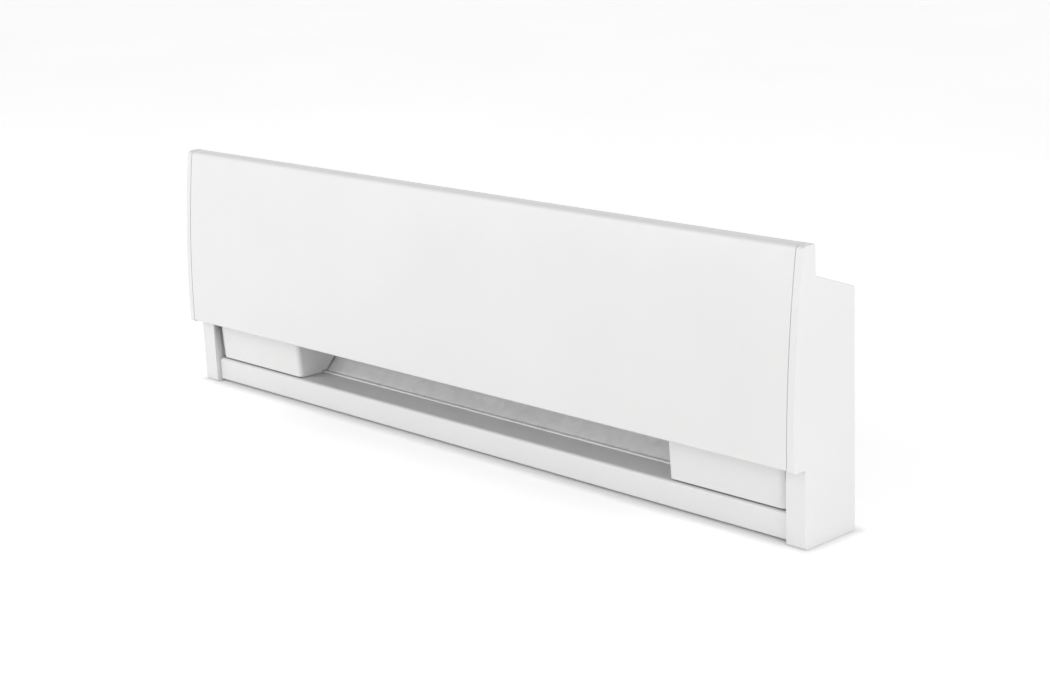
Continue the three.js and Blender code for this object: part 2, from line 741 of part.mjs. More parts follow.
// All the fins with their collars, which meet end to end and so make one sleeve on the sheath.
function finPack() {
  const firstX = ELEMENT_X - ((FIN_COUNT - 1) * FIN_PITCH) / 2;
  const lastX = ELEMENT_X + ((FIN_COUNT - 1) * FIN_PITCH) / 2;
  const fins = [];
  for (let i = 0; i < FIN_COUNT; i += 1) {
    const x = firstX + i * FIN_PITCH;
    fins.push(
      box(
        [x - FIN_THICKNESS / 2, x + FIN_THICKNESS / 2],
        [ELEMENT_Y - FIN_DEPTH / 2, ELEMENT_Y + FIN_DEPTH / 2],
        [ELEMENT_Z - FIN_HEIGHT / 2, ELEMENT_Z + FIN_HEIGHT / 2],
      ),
    );
  }
  const sleeve = rodX(SLEEVE_RADIUS, firstX - 2, lastX + 2, ELEMENT_Y, ELEMENT_Z, 12);
  const bore = rodX(SHEATH_RADIUS + 0.3, firstX - 4, lastX + 4, ELEMENT_Y, ELEMENT_Z);
  return cut(join(sleeve, ...fins), bore);
}

function tubeEnd(side) {
  return side < 0 ? TUBE_LEFT : TUBE_RIGHT;
}

function coldPin(side) {
  const profile = [
    [0, 0.3],
    [PIN_RADIUS, 0.3],
    [PIN_RADIUS, PIN_LENGTH],
    [0, PIN_LENGTH],
  ];
  return turnedX(profile, side, tubeEnd(side), ELEMENT_Y, ELEMENT_Z, 12);
}

function pinInsulator(side) {
  const bore = PIN_RADIUS + GAP;
  const profile = [
    [bore, 0.35],
    [SHEATH_RADIUS, 0.35],
    [SHEATH_RADIUS, 2.6],
    [3.1, 3.4],
    [3.1, 6.5],
    [bore, 6.5],
    [bore, 0.35],
  ];
  return turnedX(profile, side, tubeEnd(side), ELEMENT_Y, ELEMENT_Z);
}

// A crimp lug: solid where it meets the pin, hollow where the lead goes in.
function terminalLug(side) {
  const start = PIN_LENGTH + 0.3;
  const profile = [
    [0, start],
    [LUG_RADIUS - 0.6, start],
    [LUG_RADIUS, start + 0.8],
    [LUG_RADIUS, start + LUG_LENGTH],
    [LUG_BORE, start + LUG_LENGTH],
    [LUG_BORE, start + 3],
    [0, start + 3],
  ];
  return turnedX(profile, side, tubeEnd(side), ELEMENT_Y, ELEMENT_Z, 12);
}

function elementBush({ side, coverX }) {
  const [inner, outer] = partitionSpan(coverX);
  const [low, high] = [inner - 0.3, outer + 0.3];
  const bore = SHEATH_RADIUS + GAP;
  const neck = BUSH_HOLE - 0.35;
  const profile = [
    [bore, low - 1.8],
    [neck + 2.2, low - 1.8],
    [neck + 2.2, low],
    [neck, low],
    [neck, high],
    [neck + 2.2, high],
    [neck + 2.2, high + 3],
    [bore, high + 3],
    [bore, low - 1.8],
  ];
  return turnedX(profile, side, 0, ELEMENT_Y, ELEMENT_Z);
}

const SUPPORT_SLOT = SLEEVE_RADIUS + 0.5;

// A plate that reaches forward between two fins, with a slot open at the top for the sleeve to lie in.
function centreSupport() {
  const rear = REFLECTOR_Y - GAP;
  const front = ELEMENT_Y - SUPPORT_SLOT - 5;
  const top = ELEMENT_Z + 10;
  const slot = [];
  for (let i = 0; i <= 10; i += 1) {
    const angle = -(i / 10) * Math.PI;
    slot.push([ELEMENT_Y + SUPPORT_SLOT * Math.cos(angle), ELEMENT_Z + SUPPORT_SLOT * Math.sin(angle)]);
  }
  const outline = sharpLine([
    [rear, ELEMENT_Z - 44],
    [rear, top],
    [ELEMENT_Y + SUPPORT_SLOT, top],
    ...slot,
    [ELEMENT_Y - SUPPORT_SLOT, top],
    [front, top],
    [front, ELEMENT_Z - 14],
  ]);
  return alongX(outline, ELEMENT_X - SHEET / 2, ELEMENT_X + SHEET / 2);
}

// ---------------------------------------------------------------------------------------------------------
// High-limit control and leads
// ---------------------------------------------------------------------------------------------------------

const LIMIT_X = [240, 280];
const LIMIT_Y = [17, 43];
const LIMIT_Z = [120, 147.5];
const TAB_LENGTH = 8;
const TAB_Z = 133;
const TAB_YS = [23, 37];

function limitControl() {
  const outline = roundedLine(
    [
      [LIMIT_Y[0], LIMIT_Z[0], 2],
      [LIMIT_Y[1], LIMIT_Z[0], 2],
      [LIMIT_Y[1], LIMIT_Z[1], 2],
      [LIMIT_Y[0], LIMIT_Z[1], 2],
    ],
    true,
  );
  return alongX(outline, ...LIMIT_X);
}

function limitTab(y) {
  const x = LIMIT_X[1] + GAP;
  return box([x, x + TAB_LENGTH], [y - 3.15, y + 3.15], [TAB_Z - 0.4, TAB_Z + 0.4]);
}

function capillaryTube() {
  const farEnd = LEFT_COVER_X + 11;
  return rodX(CAPILLARY_RADIUS, farEnd, LIMIT_X[0] - GAP, CAPILLARY_Y, CAPILLARY_Z, 10);
}

// A strip on the reflector with its end turned up round the capillary.
function capillaryClip(x) {
  const shelf = CAPILLARY_Z - CAPILLARY_RADIUS - 0.4;
  const outline = sheetOutline(
    [
      [CAPILLARY_Y - 2.6, shelf + 3.5],
      [CAPILLARY_Y - 2.6, shelf, 1],
      [REFLECTOR_Y - GAP, shelf, 1],
      [REFLECTOR_Y - GAP, shelf - 10],
    ],
    REFLECTOR_SHEET,
  );
  return alongX(outline, x - 3, x + 3);
}

const LUG_MOUTH = PIN_LENGTH + 0.3 + 7; // where a lead ends inside its lug, from the tube's end
const WIREWAY_Z = 9.5;
const RETURN_CONNECTOR = [296, 18];
const LINE_CONNECTOR = [310, 26];

// From the element's left end down through the floor, along the wireway and up at the right.
function returnLead() {
  const start = TUBE_LEFT - LUG_MOUTH;
  const [x, y] = [LEAD_HOLE_X, LEAD_HOLE_Y];
  const [endX, endY] = RETURN_CONNECTOR;
  return wire(
    WIRE_RADIUS,
    [
      [start, ELEMENT_Y, ELEMENT_Z],
      [start - 14, ELEMENT_Y, ELEMENT_Z],
      [-x + 2, 25, 92],
      [-x - 2, 21.5, 66],
      [-x, y, 38],
      [-x, y, 21],
      [-x + 5, y + 1, 12],
      [-x + 18, y + 2, WIREWAY_Z],
      [-x + 60, y + 2, WIREWAY_Z],
      [0, y + 2, WIREWAY_Z],
      [x - 60, y + 2, WIREWAY_Z],
      [x - 18, y + 2, WIREWAY_Z],
      [x - 5, y + 1, 12],
      [x, y, 21],
      [x, y, 30],
      [endX, endY, 46],
      [endX, endY, 62],
    ],
    78,
  );
}

function limitLead() {
  const start = TUBE_RIGHT + LUG_MOUTH;
  const tabEnd = LIMIT_X[1] + GAP + TAB_LENGTH + 0.4;
  return wire(
    WIRE_RADIUS,
    [
      [start, ELEMENT_Y, ELEMENT_Z],
      [start + 20, ELEMENT_Y, ELEMENT_Z],
      [start + 34, ELEMENT_Y - 1, 108],
      [start + 39, ELEMENT_Y - 3, 120],
      [start + 32, TAB_YS[0], 131],
      [tabEnd + 4, TAB_YS[0], TAB_Z],
      [tabEnd, TAB_YS[0], TAB_Z],
    ],
    26,
  );
}

function lineLead() {
  const tabEnd = LIMIT_X[1] + GAP + TAB_LENGTH + 0.4;
  const [endX, endY] = LINE_CONNECTOR;
  return wire(
    WIRE_RADIUS,
    [
      [tabEnd, TAB_YS[1], TAB_Z],
      [tabEnd + 6, TAB_YS[1], TAB_Z],
      [tabEnd + 17, TAB_YS[1], 128],
      [tabEnd + 22, TAB_YS[1] - 2, 112],
      [endX, endY + 6, 92],
      [endX, endY, 78],
      [endX, endY, 66],
    ],
    24,
  );
}

// A twist-on connector: a cup with its mouth at height `mouth`, pointing up or down.
function wireConnector([x, y], mouth, direction) {
  const profile = [
    [2.6, mouth],
    [5.4, mouth],
    [4.9, mouth + direction * 9],
    [3.4, mouth + direction * 17],
    [0, mouth + direction * 18],
    [0, mouth + direction * 13],
    [2.6, mouth + direction * 12],
    [2.6, mouth],
  ];
  return turnedZ(direction < 0 ? profile.reverse() : profile, x, y, 12);
}

// ---------------------------------------------------------------------------------------------------------
// Assembly
// ---------------------------------------------------------------------------------------------------------

const heater = new THREE.Group();

function add(name, geometry, { color, roughness, metalness }) {
  const mesh = new THREE.Mesh(geometry, new THREE.MeshStandardMaterial({ color, roughness, metalness }));
  mesh.name = name;
  heater.add(mesh);
}

add('back_shell', backShell(), WHITE_PAINT);
add('bottom_rail', bottomRail(), WHITE_PAINT);
add('heat_reflector', heatReflector(), GALVANISED);
add('front_panel', frontPanel(), WHITE_PAINT);

HOOK_XS.forEach((x, i) => add(`panel_hook_${i + 1}`, panelHook(x), GALVANISED));

for (const end of ENDS) {
  const { name, side, coverX } = end;
  add(`${name}_end_cap`, endCap(side), WHITE_PAINT);
  add(`${name}_cap_screw`, capScrew(side), ZINC);
  add(`${name}_compartment_box`, compartmentBox(end), GALVANISED);
  add(`${name}_box_screw`, footScrew(end), ZINC);
  add(`${name}_wiring_cover`, wiringCover(end), WHITE_PAINT);
  add(`${name}_panel_clip`, panelClip(coverX + side * 58), ZINC);
  add(`${name}_cable_clamp`, cableClamp(side), ZINC);
  add(`${name}_clamp_screw`, panScrew(side * CLAMP_X, CLAMP_SCREW_Y, FLOOR_HEIGHT + GAP + SHEET + 0.3), ZINC);
  add(`${name}_earth_screw`, panScrew(side * EARTH_SCREW_X, EARTH_SCREW_Y, FLOOR_HEIGHT + 0.3), GREEN_STEEL);
  add(`${name}_grommet`, grommet(side), RUBBER);
  add(`${name}_element_bush`, elementBush(end), GREY_PLASTIC);
  add(`${name}_cold_pin`, coldPin(side), ZINC);
  add(`${name}_pin_insulator`, pinInsulator(side), CERAMIC);
  add(`${name}_terminal_lug`, terminalLug(side), COPPER);
}

add('element_tube', elementTube(), SHEATH_STEEL);
add('fin_pack', finPack(), ALUMINIUM);
add('centre_element_support', centreSupport(), GALVANISED);

add('limit_control', limitControl(), BLACK_PLASTIC);
TAB_YS.forEach((y, i) => add(`limit_tab_${i + 1}`, limitTab(y), BRASS));
add('capillary_tube', capillaryTube(), COPPER);
[-140, 60, 180].forEach((offset, i) => add(`capillary_clip_${i + 1}`, capillaryClip(ELEMENT_X + offset), ZINC));

add('return_lead', returnLead(), BLACK_INSULATION);
add('limit_lead', limitLead(), RED_INSULATION);
add('line_lead', lineLead(), RED_INSULATION);
add('return_connector', wireConnector(RETURN_CONNECTOR, 52, 1), ORANGE_PLASTIC);
add('line_connector', wireConnector(LINE_CONNECTOR, 76, -1), ORANGE_PLASTIC);

// The bounding box runs from the front panel's foremost line to the wall.
heater.position.y = -(CASE_DEPTH - PANEL_STANDOFF) / 2;

const model = new THREE.Group();
model.add(heater);

export default model;
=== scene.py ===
# Looks of the electric baseboard heater: smooth sheet metal, moulded and turned pieces and their finishes,
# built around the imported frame. Lengths below are millimetres and become metres when a mesh is made.
# Sections use the row frame's X and Z, with y = 0 on the end caps' lower front faces.

import json
import math

import bmesh
import bpy
from mathutils import Matrix, Vector


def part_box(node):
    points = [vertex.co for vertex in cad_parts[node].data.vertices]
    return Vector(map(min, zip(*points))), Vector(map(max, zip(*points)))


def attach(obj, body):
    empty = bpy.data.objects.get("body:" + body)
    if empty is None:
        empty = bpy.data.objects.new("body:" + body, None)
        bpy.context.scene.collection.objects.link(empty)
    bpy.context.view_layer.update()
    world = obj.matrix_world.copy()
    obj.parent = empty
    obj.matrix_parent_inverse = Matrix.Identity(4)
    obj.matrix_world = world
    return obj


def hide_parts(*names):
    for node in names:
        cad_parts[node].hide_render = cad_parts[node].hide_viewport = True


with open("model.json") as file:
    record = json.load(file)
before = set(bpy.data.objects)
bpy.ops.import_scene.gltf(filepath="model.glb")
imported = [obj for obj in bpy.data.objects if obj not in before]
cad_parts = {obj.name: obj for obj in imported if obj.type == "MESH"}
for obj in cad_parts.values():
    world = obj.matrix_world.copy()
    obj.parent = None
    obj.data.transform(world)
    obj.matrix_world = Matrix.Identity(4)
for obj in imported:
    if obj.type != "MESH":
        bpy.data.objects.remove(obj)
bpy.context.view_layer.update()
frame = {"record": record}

MM = 0.001

# ---- Sizes taken from the frame, and the few that a bounding box can't give ----

PANEL_STANDOFF = 12.2
FRONT_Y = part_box("front_panel")[0].y / MM + PANEL_STANDOFF  # the section's y = 0 in the row frame


def low(node):
    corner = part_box(node)[0] / MM
    return Vector((corner.x, corner.y - FRONT_Y, corner.z))


def high(node):
    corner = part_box(node)[1] / MM
    return Vector((corner.x, corner.y - FRONT_Y, corner.z))


def middle(node):
    return (low(node) + high(node)) / 2


HALF = high("right_end_cap").x
HEIGHT = high("front_panel").z
DEPTH = high("right_end_cap").y
CAP_FLANGE = 9  # how far the cap's return flange reaches in behind the wiring cover
CAP_INNER = low("right_end_cap").x + CAP_FLANGE
PANEL_HALF = high("front_panel").x
PANEL_BOTTOM = low("front_panel").z
PANEL_RADIUS = 990
PANEL_UPRIGHT_AT = 55
TOP_REAR = high("front_panel").y
BACK_HEIGHT = 172
SHOULDER_HEIGHT = 186.5
WING_BOTTOM = 56.2
WING_WIDTH = 6
CAP_SIDE = 2
CAP_RIM = 1.6

SHEET = 1.2
PANEL_SHEET = 1.1
COVER_SHEET = 1.0
RAIL_SHEET = 1.0
REFLECTOR_SHEET = 0.8
GAP = 0.35

RAIL_FRONT = low("bottom_rail").y
RAIL_BOTTOM = 2.0
FLOOR_HEIGHT = high("bottom_rail").z
FLOOR_REAR = high("bottom_rail").y
SHELL_BOTTOM = low("back_shell").z
HOOD_LIP_Y = 30
HOOD_DROP = 2.1
HOOD_LIP = 4
REFLECTOR_Y = high("heat_reflector").y - REFLECTOR_SHEET
REFLECTOR_HEM_Z = low("heat_reflector").z + REFLECTOR_SHEET
REFLECTOR_HEM_Y = low("heat_reflector").y
REFLECTOR_BEND_Y = 34.8
REFLECTOR_TOP = 150
BOX_FRONT_Y = low("left_compartment_box").y
BOX_TOP = high("left_compartment_box").z
BOX_BOTTOM = 58.2
COVER_TOP_Y = low("right_wiring_cover").y
COVER_BEND = 4
COVER_LEAN = 2.2
COVER_ROLL = 5.5  # the outer edge rolls back over this width
COVER_ROLL_DEPTH = 1.6
HOOK_Y = 6
CLIP_SHEET = 0.8
TUBE_RADIUS = 4
FIN_PITCH = 8
FIN_SHEET = 0.5
WIRE_RADIUS = 1.6
ELEMENT_Y = middle("element_tube").y
ELEMENT_Z = middle("element_tube").z
SCREW_SHANK = 1.5
SCREW_HOLE = 1.85
KNOCK_OUT_RADIUS = 11
BEVEL = 0.28

ENDS = (("left", -1), ("right", 1))

BODY_OF = {node: body for body, nodes in frame["record"]["behaviour"]["bodies"].items() for node in nodes}
SLOT_OF = {part["node"]: part["material_slot"] for part in frame["record"]["subparts"]}


def on_axis(x):
    """A point on the element's axis."""
    return (x, ELEMENT_Y, ELEMENT_Z)


# ---- Lines in a section: corners are (a, b) or (a, b, radius) ----


def corner_arc(before, corner, after, radius, steps):
    back = (Vector(before[:2]) - Vector(corner[:2])).normalized()
    ahead = (Vector(after[:2]) - Vector(corner[:2])).normalized()
    half_angle = math.acos(max(-1.0, min(1.0, back.dot(ahead)))) / 2
    reach = radius / math.tan(half_angle)
    start = Vector(corner[:2]) + back * reach
    end = Vector(corner[:2]) + ahead * reach
    centre = Vector(corner[:2]) + (back + ahead).normalized() * (radius / math.sin(half_angle))
    first, last = start - centre, end - centre
    sweep = math.atan2(first.x * last.y - first.y * last.x, first.dot(last))
    turns = [Matrix.Rotation(sweep * i / steps, 2) for i in range(steps + 1)]
    return [centre + turn @ first for turn in turns]


def rounded(corners, closed=False, steps=8):
    points = []
    count = len(corners)
    for i, corner in enumerate(corners):
        at_end = not closed and i in (0, count - 1)
        if at_end or len(corner) < 3 or not corner[2]:
            points.append(Vector(corner[:2]))
        else:
            points += corner_arc(corners[i - 1], corner, corners[(i + 1) % count], corner[2], steps)
    return points


def offset(points, distance, closed=False):
    """The line moved sideways, to the right of the way it runs."""
    moved = []
    count = len(points)
    for i, point in enumerate(points):
        before = points[i - 1] if closed or i > 0 else None
        after = points[(i + 1) % count] if closed or i < count - 1 else None
        steps = []
        if before is not None:
            steps.append((point - before).normalized())
        if after is not None:
            steps.append((after - point).normalized())
        normals = [Vector((step.y, -step.x)) for step in steps]
        normal = (normals[0] + normals[-1]).normalized()
        moved.append(point + normal * (distance / max(0.2, normal.dot(normals[0]))))
    return moved


def panel_y(z):
    return PANEL_RADIUS - PANEL_STANDOFF - math.sqrt(PANEL_RADIUS**2 - (z - PANEL_UPRIGHT_AT) ** 2)


def panel_curve(bottom, top, bottom_radius, top_radius, inset=0.0, steps=40):
    """The front curve from bottom to top, with long end segments that leave room for the two roundings."""
    corners = [(panel_y(bottom) + inset, bottom, bottom_radius)]
    for i in range(steps + 1):
        z = bottom + 7 + (top - bottom - 15) * i / steps
        corners.append((panel_y(z) + inset, z))
    return [*corners, (panel_y(top) + inset, top, top_radius)]


def shoulder_z(y):
    return BACK_HEIGHT + (SHOULDER_HEIGHT - BACK_HEIGHT) / (DEPTH - TOP_REAR) * (DEPTH - y)


# ---- Meshes ----


def new_object(name, data):
    thing = bpy.data.objects.new(name, data)
    bpy.context.scene.collection.objects.link(thing)
    return thing


def mesh_object(name, points, faces):
    """An object from points (x, section y, z) in millimetres."""
    mesh = bpy.data.meshes.new(name)
    mesh.from_pydata([(x * MM, (y + FRONT_Y) * MM, z * MM) for x, y, z in points], [], faces)
    made = bmesh.new()
    made.from_mesh(mesh)
    bmesh.ops.remove_doubles(made, verts=made.verts, dist=1e-7)
    bmesh.ops.recalc_face_normals(made, faces=made.faces)
    made.to_mesh(mesh)
    made.free()
    return new_object(name, mesh)


def along(axis, a, b, distance):
    """The point at a, b in the plane across an axis, moved a distance along it."""
    return {"x": (distance, a, b), "y": (a, distance, b), "z": (a, b, distance)}[axis]


def lofted(rings, ends=None):
    """A closed skin through rings with equal numbers of points, with given or flat ends."""
    points = [tuple(point) for ring in rings for point in ring]
    count = len(rings[0])
    faces = []
    for start in range(0, len(points) - count, count):
        for j in range(count):
            k = (j + 1) % count
            faces.append((start + j, start + k, start + count + k, start + count + j))
    flat = [tuple(range(count)), tuple(range(len(points) - 1, len(points) - count - 1, -1))]
    return mesh_object("lofted", points, faces + (ends or flat))


def prism(outline, start, end, axis="x"):
    """A closed outline drawn along X (outline is y, z), Y (x, z) or Z (x, y)."""
    return lofted([[along(axis, *p, distance) for p in outline] for distance in (start, end)])


def sheet_ends(half, *starts):
    """Faces across a sheet's edges, where its outline runs out along one face and back along the other."""
    faces = []
    for start in starts:
        last = start + 2 * half - 1
        faces += [(start + i, start + i + 1, last - i - 1, last - i) for i in range(half - 1)]
    return faces


def sheet(corners, thickness, start, end):
    """A bent sheet along X whose outer face follows the corners, with its metal on their right."""
    outer = rounded(corners)
    outline = [*outer, *reversed(offset(outer, thickness))]
    rings = [[(x, *p) for p in outline] for x in (start, end)]
    return lofted(rings, sheet_ends(len(outer), 0, len(outline)))


def block(xs, ys, zs):
    return prism([(xs[0], zs[0]), (xs[1], zs[0]), (xs[1], zs[1]), (xs[0], zs[1])], ys[0], ys[1], "y")


def turned(profile, centre, axis="z", sides=48, direction=1):
    """Turns a (radius, distance) profile about an axis. It starts and ends on the axis, or it closes."""
    closed = profile[0][0] > 1e-6 and profile[-1][0] > 1e-6
    points, faces = [], []
    count = len(profile)
    for s in range(sides):
        angle = 2 * math.pi * s / sides
        for radius, distance in profile:
            across = (radius * math.cos(angle), radius * math.sin(angle))
            place = along(axis, *across, distance * direction)
            points.append(tuple(c + q for c, q in zip(centre, place)))
    for s in range(sides):
        here, there = s * count, (s + 1) % sides * count
        for i in range(count if closed else count - 1):
            j = (i + 1) % count
            faces.append((here + i, here + j, there + j, there + i))
    thing = mesh_object("turned", points, faces)
    made = bmesh.new()
    made.from_mesh(thing.data)
    bmesh.ops.dissolve_degenerate(made, dist=1e-8, edges=made.edges)
    bmesh.ops.recalc_face_normals(made, faces=made.faces)
    made.to_mesh(thing.data)
    made.free()
    return thing


def rod(radius, start, end, centre, sides, edge):
    """A round rod along X with small chamfers."""
    profile = [(0, start), (radius - edge, start), (radius, start + edge)]
    profile += [(radius, end - edge), (radius - edge, end), (0, end)]
    return turned(profile, centre, "x", sides)


def drill(radius, start, end, centre, axis="z", sides=48):
    """A plain cylinder to cut a hole with."""
    return turned([(0, start), (radius, start), (radius, end), (0, end)], centre, axis, sides)


def smooth_path(places, per_span=10):
    """A Catmull-Rom line through the places, timed by the distances between them."""
    points = [Vector(p) for p in places]
    padded = [points[0] * 2 - points[1], *points, points[-1] * 2 - points[-2]]
    line = []
    for i in range(1, len(padded) - 2):
        p0, p1, p2, p3 = padded[i - 1 : i + 3]
        d0, d1, d2 = ((b - a).length for a, b in ((p0, p1), (p1, p2), (p2, p3)))
        out = ((p1 - p0) / d0 - (p2 - p0) / (d0 + d1) + (p2 - p1) / d1) * d1
        into = ((p2 - p1) / d1 - (p3 - p1) / (d1 + d2) + (p3 - p2) / d2) * d1
        for k in range(per_span):
            t = k / per_span
            a, b = p2 - p1, out + into
            line.append(p1 + out * t + (a * 3 - out * 2 - into) * t**2 + (b - a * 2) * t**3)
    return [*line, points[-1]]


def swept(path, section):
    """A section carried along a path with as little twist as the path allows."""
    tangents = []
    for i in range(len(path)):
        tangents.append((path[min(i + 1, len(path) - 1)] - path[max(i - 1, 0)]).normalized())
    side = tangents[0].orthogonal().normalized()
    rings = []
    for place, tangent in zip(path, tangents):
        side = (side - tangent * side.dot(tangent)).normalized()
        other = tangent.cross(side)
        rings.append([place + side * a + other * b for a, b in section])
    return lofted(rings)


def circle(radius, sides=20):
    angles = [2 * math.pi * i / sides for i in range(sides)]
    return [(radius * math.cos(a), radius * math.sin(a)) for a in angles]


def settled(thing):
    """Applies the object's modifiers."""
    bpy.context.view_layer.update()
    graph = bpy.context.evaluated_depsgraph_get()
    mesh = bpy.data.meshes.new_from_object(thing.evaluated_get(graph))
    thing.modifiers.clear()
    thing.data = mesh
    return thing


def combined(thing, tools, operation):
    for tool in tools:
        change = thing.modifiers.new("change", "BOOLEAN")
        change.solver = "EXACT"
        change.operation = operation
        change.object = tool
    settled(thing)
    for tool in tools:
        bpy.data.objects.remove(tool)
    return thing


def cut(thing, *tools):
    return combined(thing, tools, "DIFFERENCE")


def fused(thing, *additions):
    return combined(thing, additions, "UNION")


def repeated(thing, shifts):
    """The same mesh at every shift, as one mesh."""
    whole = bmesh.new()
    for shift in shifts:
        before = len(whole.verts)
        whole.from_mesh(thing.data)
        whole.verts.ensure_lookup_table()
        bmesh.ops.translate(whole, vec=Vector(shift) * MM, verts=whole.verts[before:])
    whole.to_mesh(thing.data)
    whole.free()


def finished(thing, node, bevel=BEVEL, segments=3, angle=38):
    """Rounds the sharp edges, shades the faces smoothly and lets the piece stand for its CAD node."""
    thing.name = f"{node}_visual"
    thing.data.name = thing.name
    if bevel:
        rounding = thing.modifiers.new("edges", "BEVEL")
        rounding.width = bevel * MM
        rounding.segments = segments
        rounding.limit_method = "ANGLE"
        rounding.angle_limit = math.radians(angle)
        rounding.use_clamp_overlap = True
        rounding.miter_outer = "MITER_ARC"
    for face in thing.data.polygons:
        face.use_smooth = True
    normals = thing.modifiers.new("normals", "WEIGHTED_NORMAL")
    normals.keep_sharp = True
    normals.weight = 80
    settled(thing)
    thing.data.materials.clear()
    thing.data.materials.append(MATERIALS[SLOT_OF[node]])
    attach(thing, BODY_OF[node])
    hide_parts(node)
    return thing


# ---- Finishes ----


PAINT_TONE = ((0.625, 0.625, 0.623), (0.645, 0.645, 0.643))


class Finish:
    """A material under construction: noise and cells in the object's own coordinates, in metres."""

    def __init__(self, name, metallic=0.0, specular=0.5, coat=0.0, coat_roughness=0.2):
        self.material = bpy.data.materials.new(name)
        self.material.use_nodes = True
        self.tree = self.material.node_tree
        self.shader = self.tree.nodes["Principled BSDF"]
        self.given(self.shader, {"Metallic": metallic, "Specular IOR Level": specular})
        self.given(self.shader, {"Coat Weight": coat, "Coat Roughness": coat_roughness})
        self.place = self.node("TexCoord").outputs["Object"]

    def given(self, node, values):
        for socket, value in values.items():
            node.inputs[socket].default_value = value
        return node

    def node(self, kind, **values):
        return self.given(self.tree.nodes.new("ShaderNode" + kind), values)

    def link(self, output, node, socket):
        self.tree.links.new(output, node.inputs[socket])

    def stretched(self, stretch):
        node = self.node("Mapping", Scale=stretch)
        self.link(self.place, node, "Vector")
        return node.outputs["Vector"]

    def noise(self, scale, detail, stretch=None):
        node = self.node("TexNoise", Scale=scale, Detail=detail)
        self.link(self.stretched(stretch) if stretch else self.place, node, "Vector")
        return node.outputs["Fac"]

    def cells(self, scale, stretch):
        node = self.node("TexVoronoi", Scale=scale)
        self.link(self.stretched(stretch), node, "Vector")
        return node.outputs["Color"]

    def spread(self, value, start, end, low=0.0, high=1.0):
        node = self.node("MapRange", **{"From Min": low, "From Max": high, "To Min": start, "To Max": end})
        self.link(value, node, "Value")
        return node.outputs["Result"]

    def blended(self, value, *stops):
        """Colours along a ramp: stops are (position, (red, green, blue))."""
        node = self.node("ValToRGB")
        ramp = node.color_ramp
        while len(ramp.elements) < len(stops):
            ramp.elements.new(0.5)
        for element, (position, color) in zip(ramp.elements, stops):
            element.position = position
            element.color = (*color, 1.0)
        self.link(value, node, "Fac")
        return node.outputs["Color"]

    def mixed(self, value, a, b, blend="MIX"):
        node = self.node("Mix")
        node.data_type = "RGBA"
        node.blend_type = blend
        for socket, given in ((0, value), (6, a), (7, b)):
            if hasattr(given, "is_linked"):
                self.tree.links.new(given, node.inputs[socket])
            elif isinstance(given, tuple):
                node.inputs[socket].default_value = (*given, 1.0)
            else:
                node.inputs[socket].default_value = given
        return node.outputs[2]

    def color(self, output):
        self.link(output, self.shader, "Base Color")

    def clouded(self, scale, detail, dark, light):
        self.color(self.blended(self.noise(scale, detail), (0.3, dark), (0.7, light)))

    def roughness(self, value, start, end, low=0.3, high=0.7):
        self.link(self.spread(value, start, end, low, high), self.shader, "Roughness")

    def relief(self, *layers):
        """Bumps: layers are (height output, depth in millimetres)."""
        normal = None
        for height, depth in layers:
            node = self.node("Bump", Strength=1.0, Distance=depth * MM)
            self.link(height, node, "Height")
            if normal is not None:
                self.link(normal, node, "Normal")
            normal = node.outputs["Normal"]
        self.link(normal, self.shader, "Normal")


def powder_coat(name):
    """Satin white powder coat: fine orange peel over a slow waviness, with a little mottle."""
    finish = Finish(name, coat=0.12, coat_roughness=0.22)
    tone = finish.blended(finish.noise(9, 4), (0.30, PAINT_TONE[0]), (0.70, PAINT_TONE[1]))
    speck = finish.spread(finish.noise(2600, 1), 0.0, 0.05, 0.62, 0.74)
    finish.color(finish.mixed(speck, tone, (0.70, 0.70, 0.695)))
    finish.roughness(finish.noise(130, 5), 0.36, 0.48)
    finish.relief((finish.noise(14, 2), 0.05), (finish.noise(620, 2), 0.012), (finish.noise(2300, 1), 0.003))
    return finish.material


def galvanised_sheet(name):
    """Zinc-coated sheet with a faint spangle of flat crystals and light rolling lines."""
    finish = Finish(name, metallic=0.2)
    crystal = finish.cells(170, (1.0, 0.8, 1.3))
    tone = finish.spread(crystal, 0.0, 1.0)
    stops = [(position, (level, level, level)) for position, level in ((0.0, 0.80), (0.5, 0.84), (1.0, 0.88))]
    base = finish.blended(tone, *stops)
    haze = finish.blended(finish.noise(22, 5), (0.35, (0.96, 0.96, 0.965)), (0.65, (1.0, 1.0, 1.0)))
    finish.color(finish.mixed(1.0, base, haze, "MULTIPLY"))
    finish.roughness(tone, 0.42, 0.56, 0.0, 1.0)
    finish.relief((finish.noise(1500, 2, (0.04, 1, 1)), 0.004), (finish.noise(60, 3), 0.02))
    return finish.material


def rolled_aluminium(name):
    """Mill-finish fin stock with upright rolling lines and a little oxide haze."""
    finish = Finish(name, metallic=1.0)
    lines = finish.noise(900, 3, (1, 1, 0.03))
    finish.clouded(45, 4, (0.74, 0.75, 0.77), (0.86, 0.87, 0.88))
    finish.roughness(lines, 0.24, 0.42)
    finish.relief((lines, 0.006))
    return finish.material


def heated_sheath(name):
    """Tubular sheath, brown and blue where it has been hot, with fine drawing lines along it."""
    finish = Finish(name, metallic=0.9)
    heat = finish.noise(26, 4, (1, 0.5, 0.5))
    stops = (
        (0.25, (0.36, 0.36, 0.36)), (0.45, (0.42, 0.36, 0.27)), (0.58, (0.27, 0.22, 0.23)),
        (0.72, (0.20, 0.22, 0.28)),
    )
    finish.color(finish.blended(heat, *stops))
    finish.roughness(finish.noise(700, 2, (0.03, 1, 1)), 0.30, 0.50)
    finish.relief((finish.noise(2400, 2, (0.02, 1, 1)), 0.004))
    return finish.material


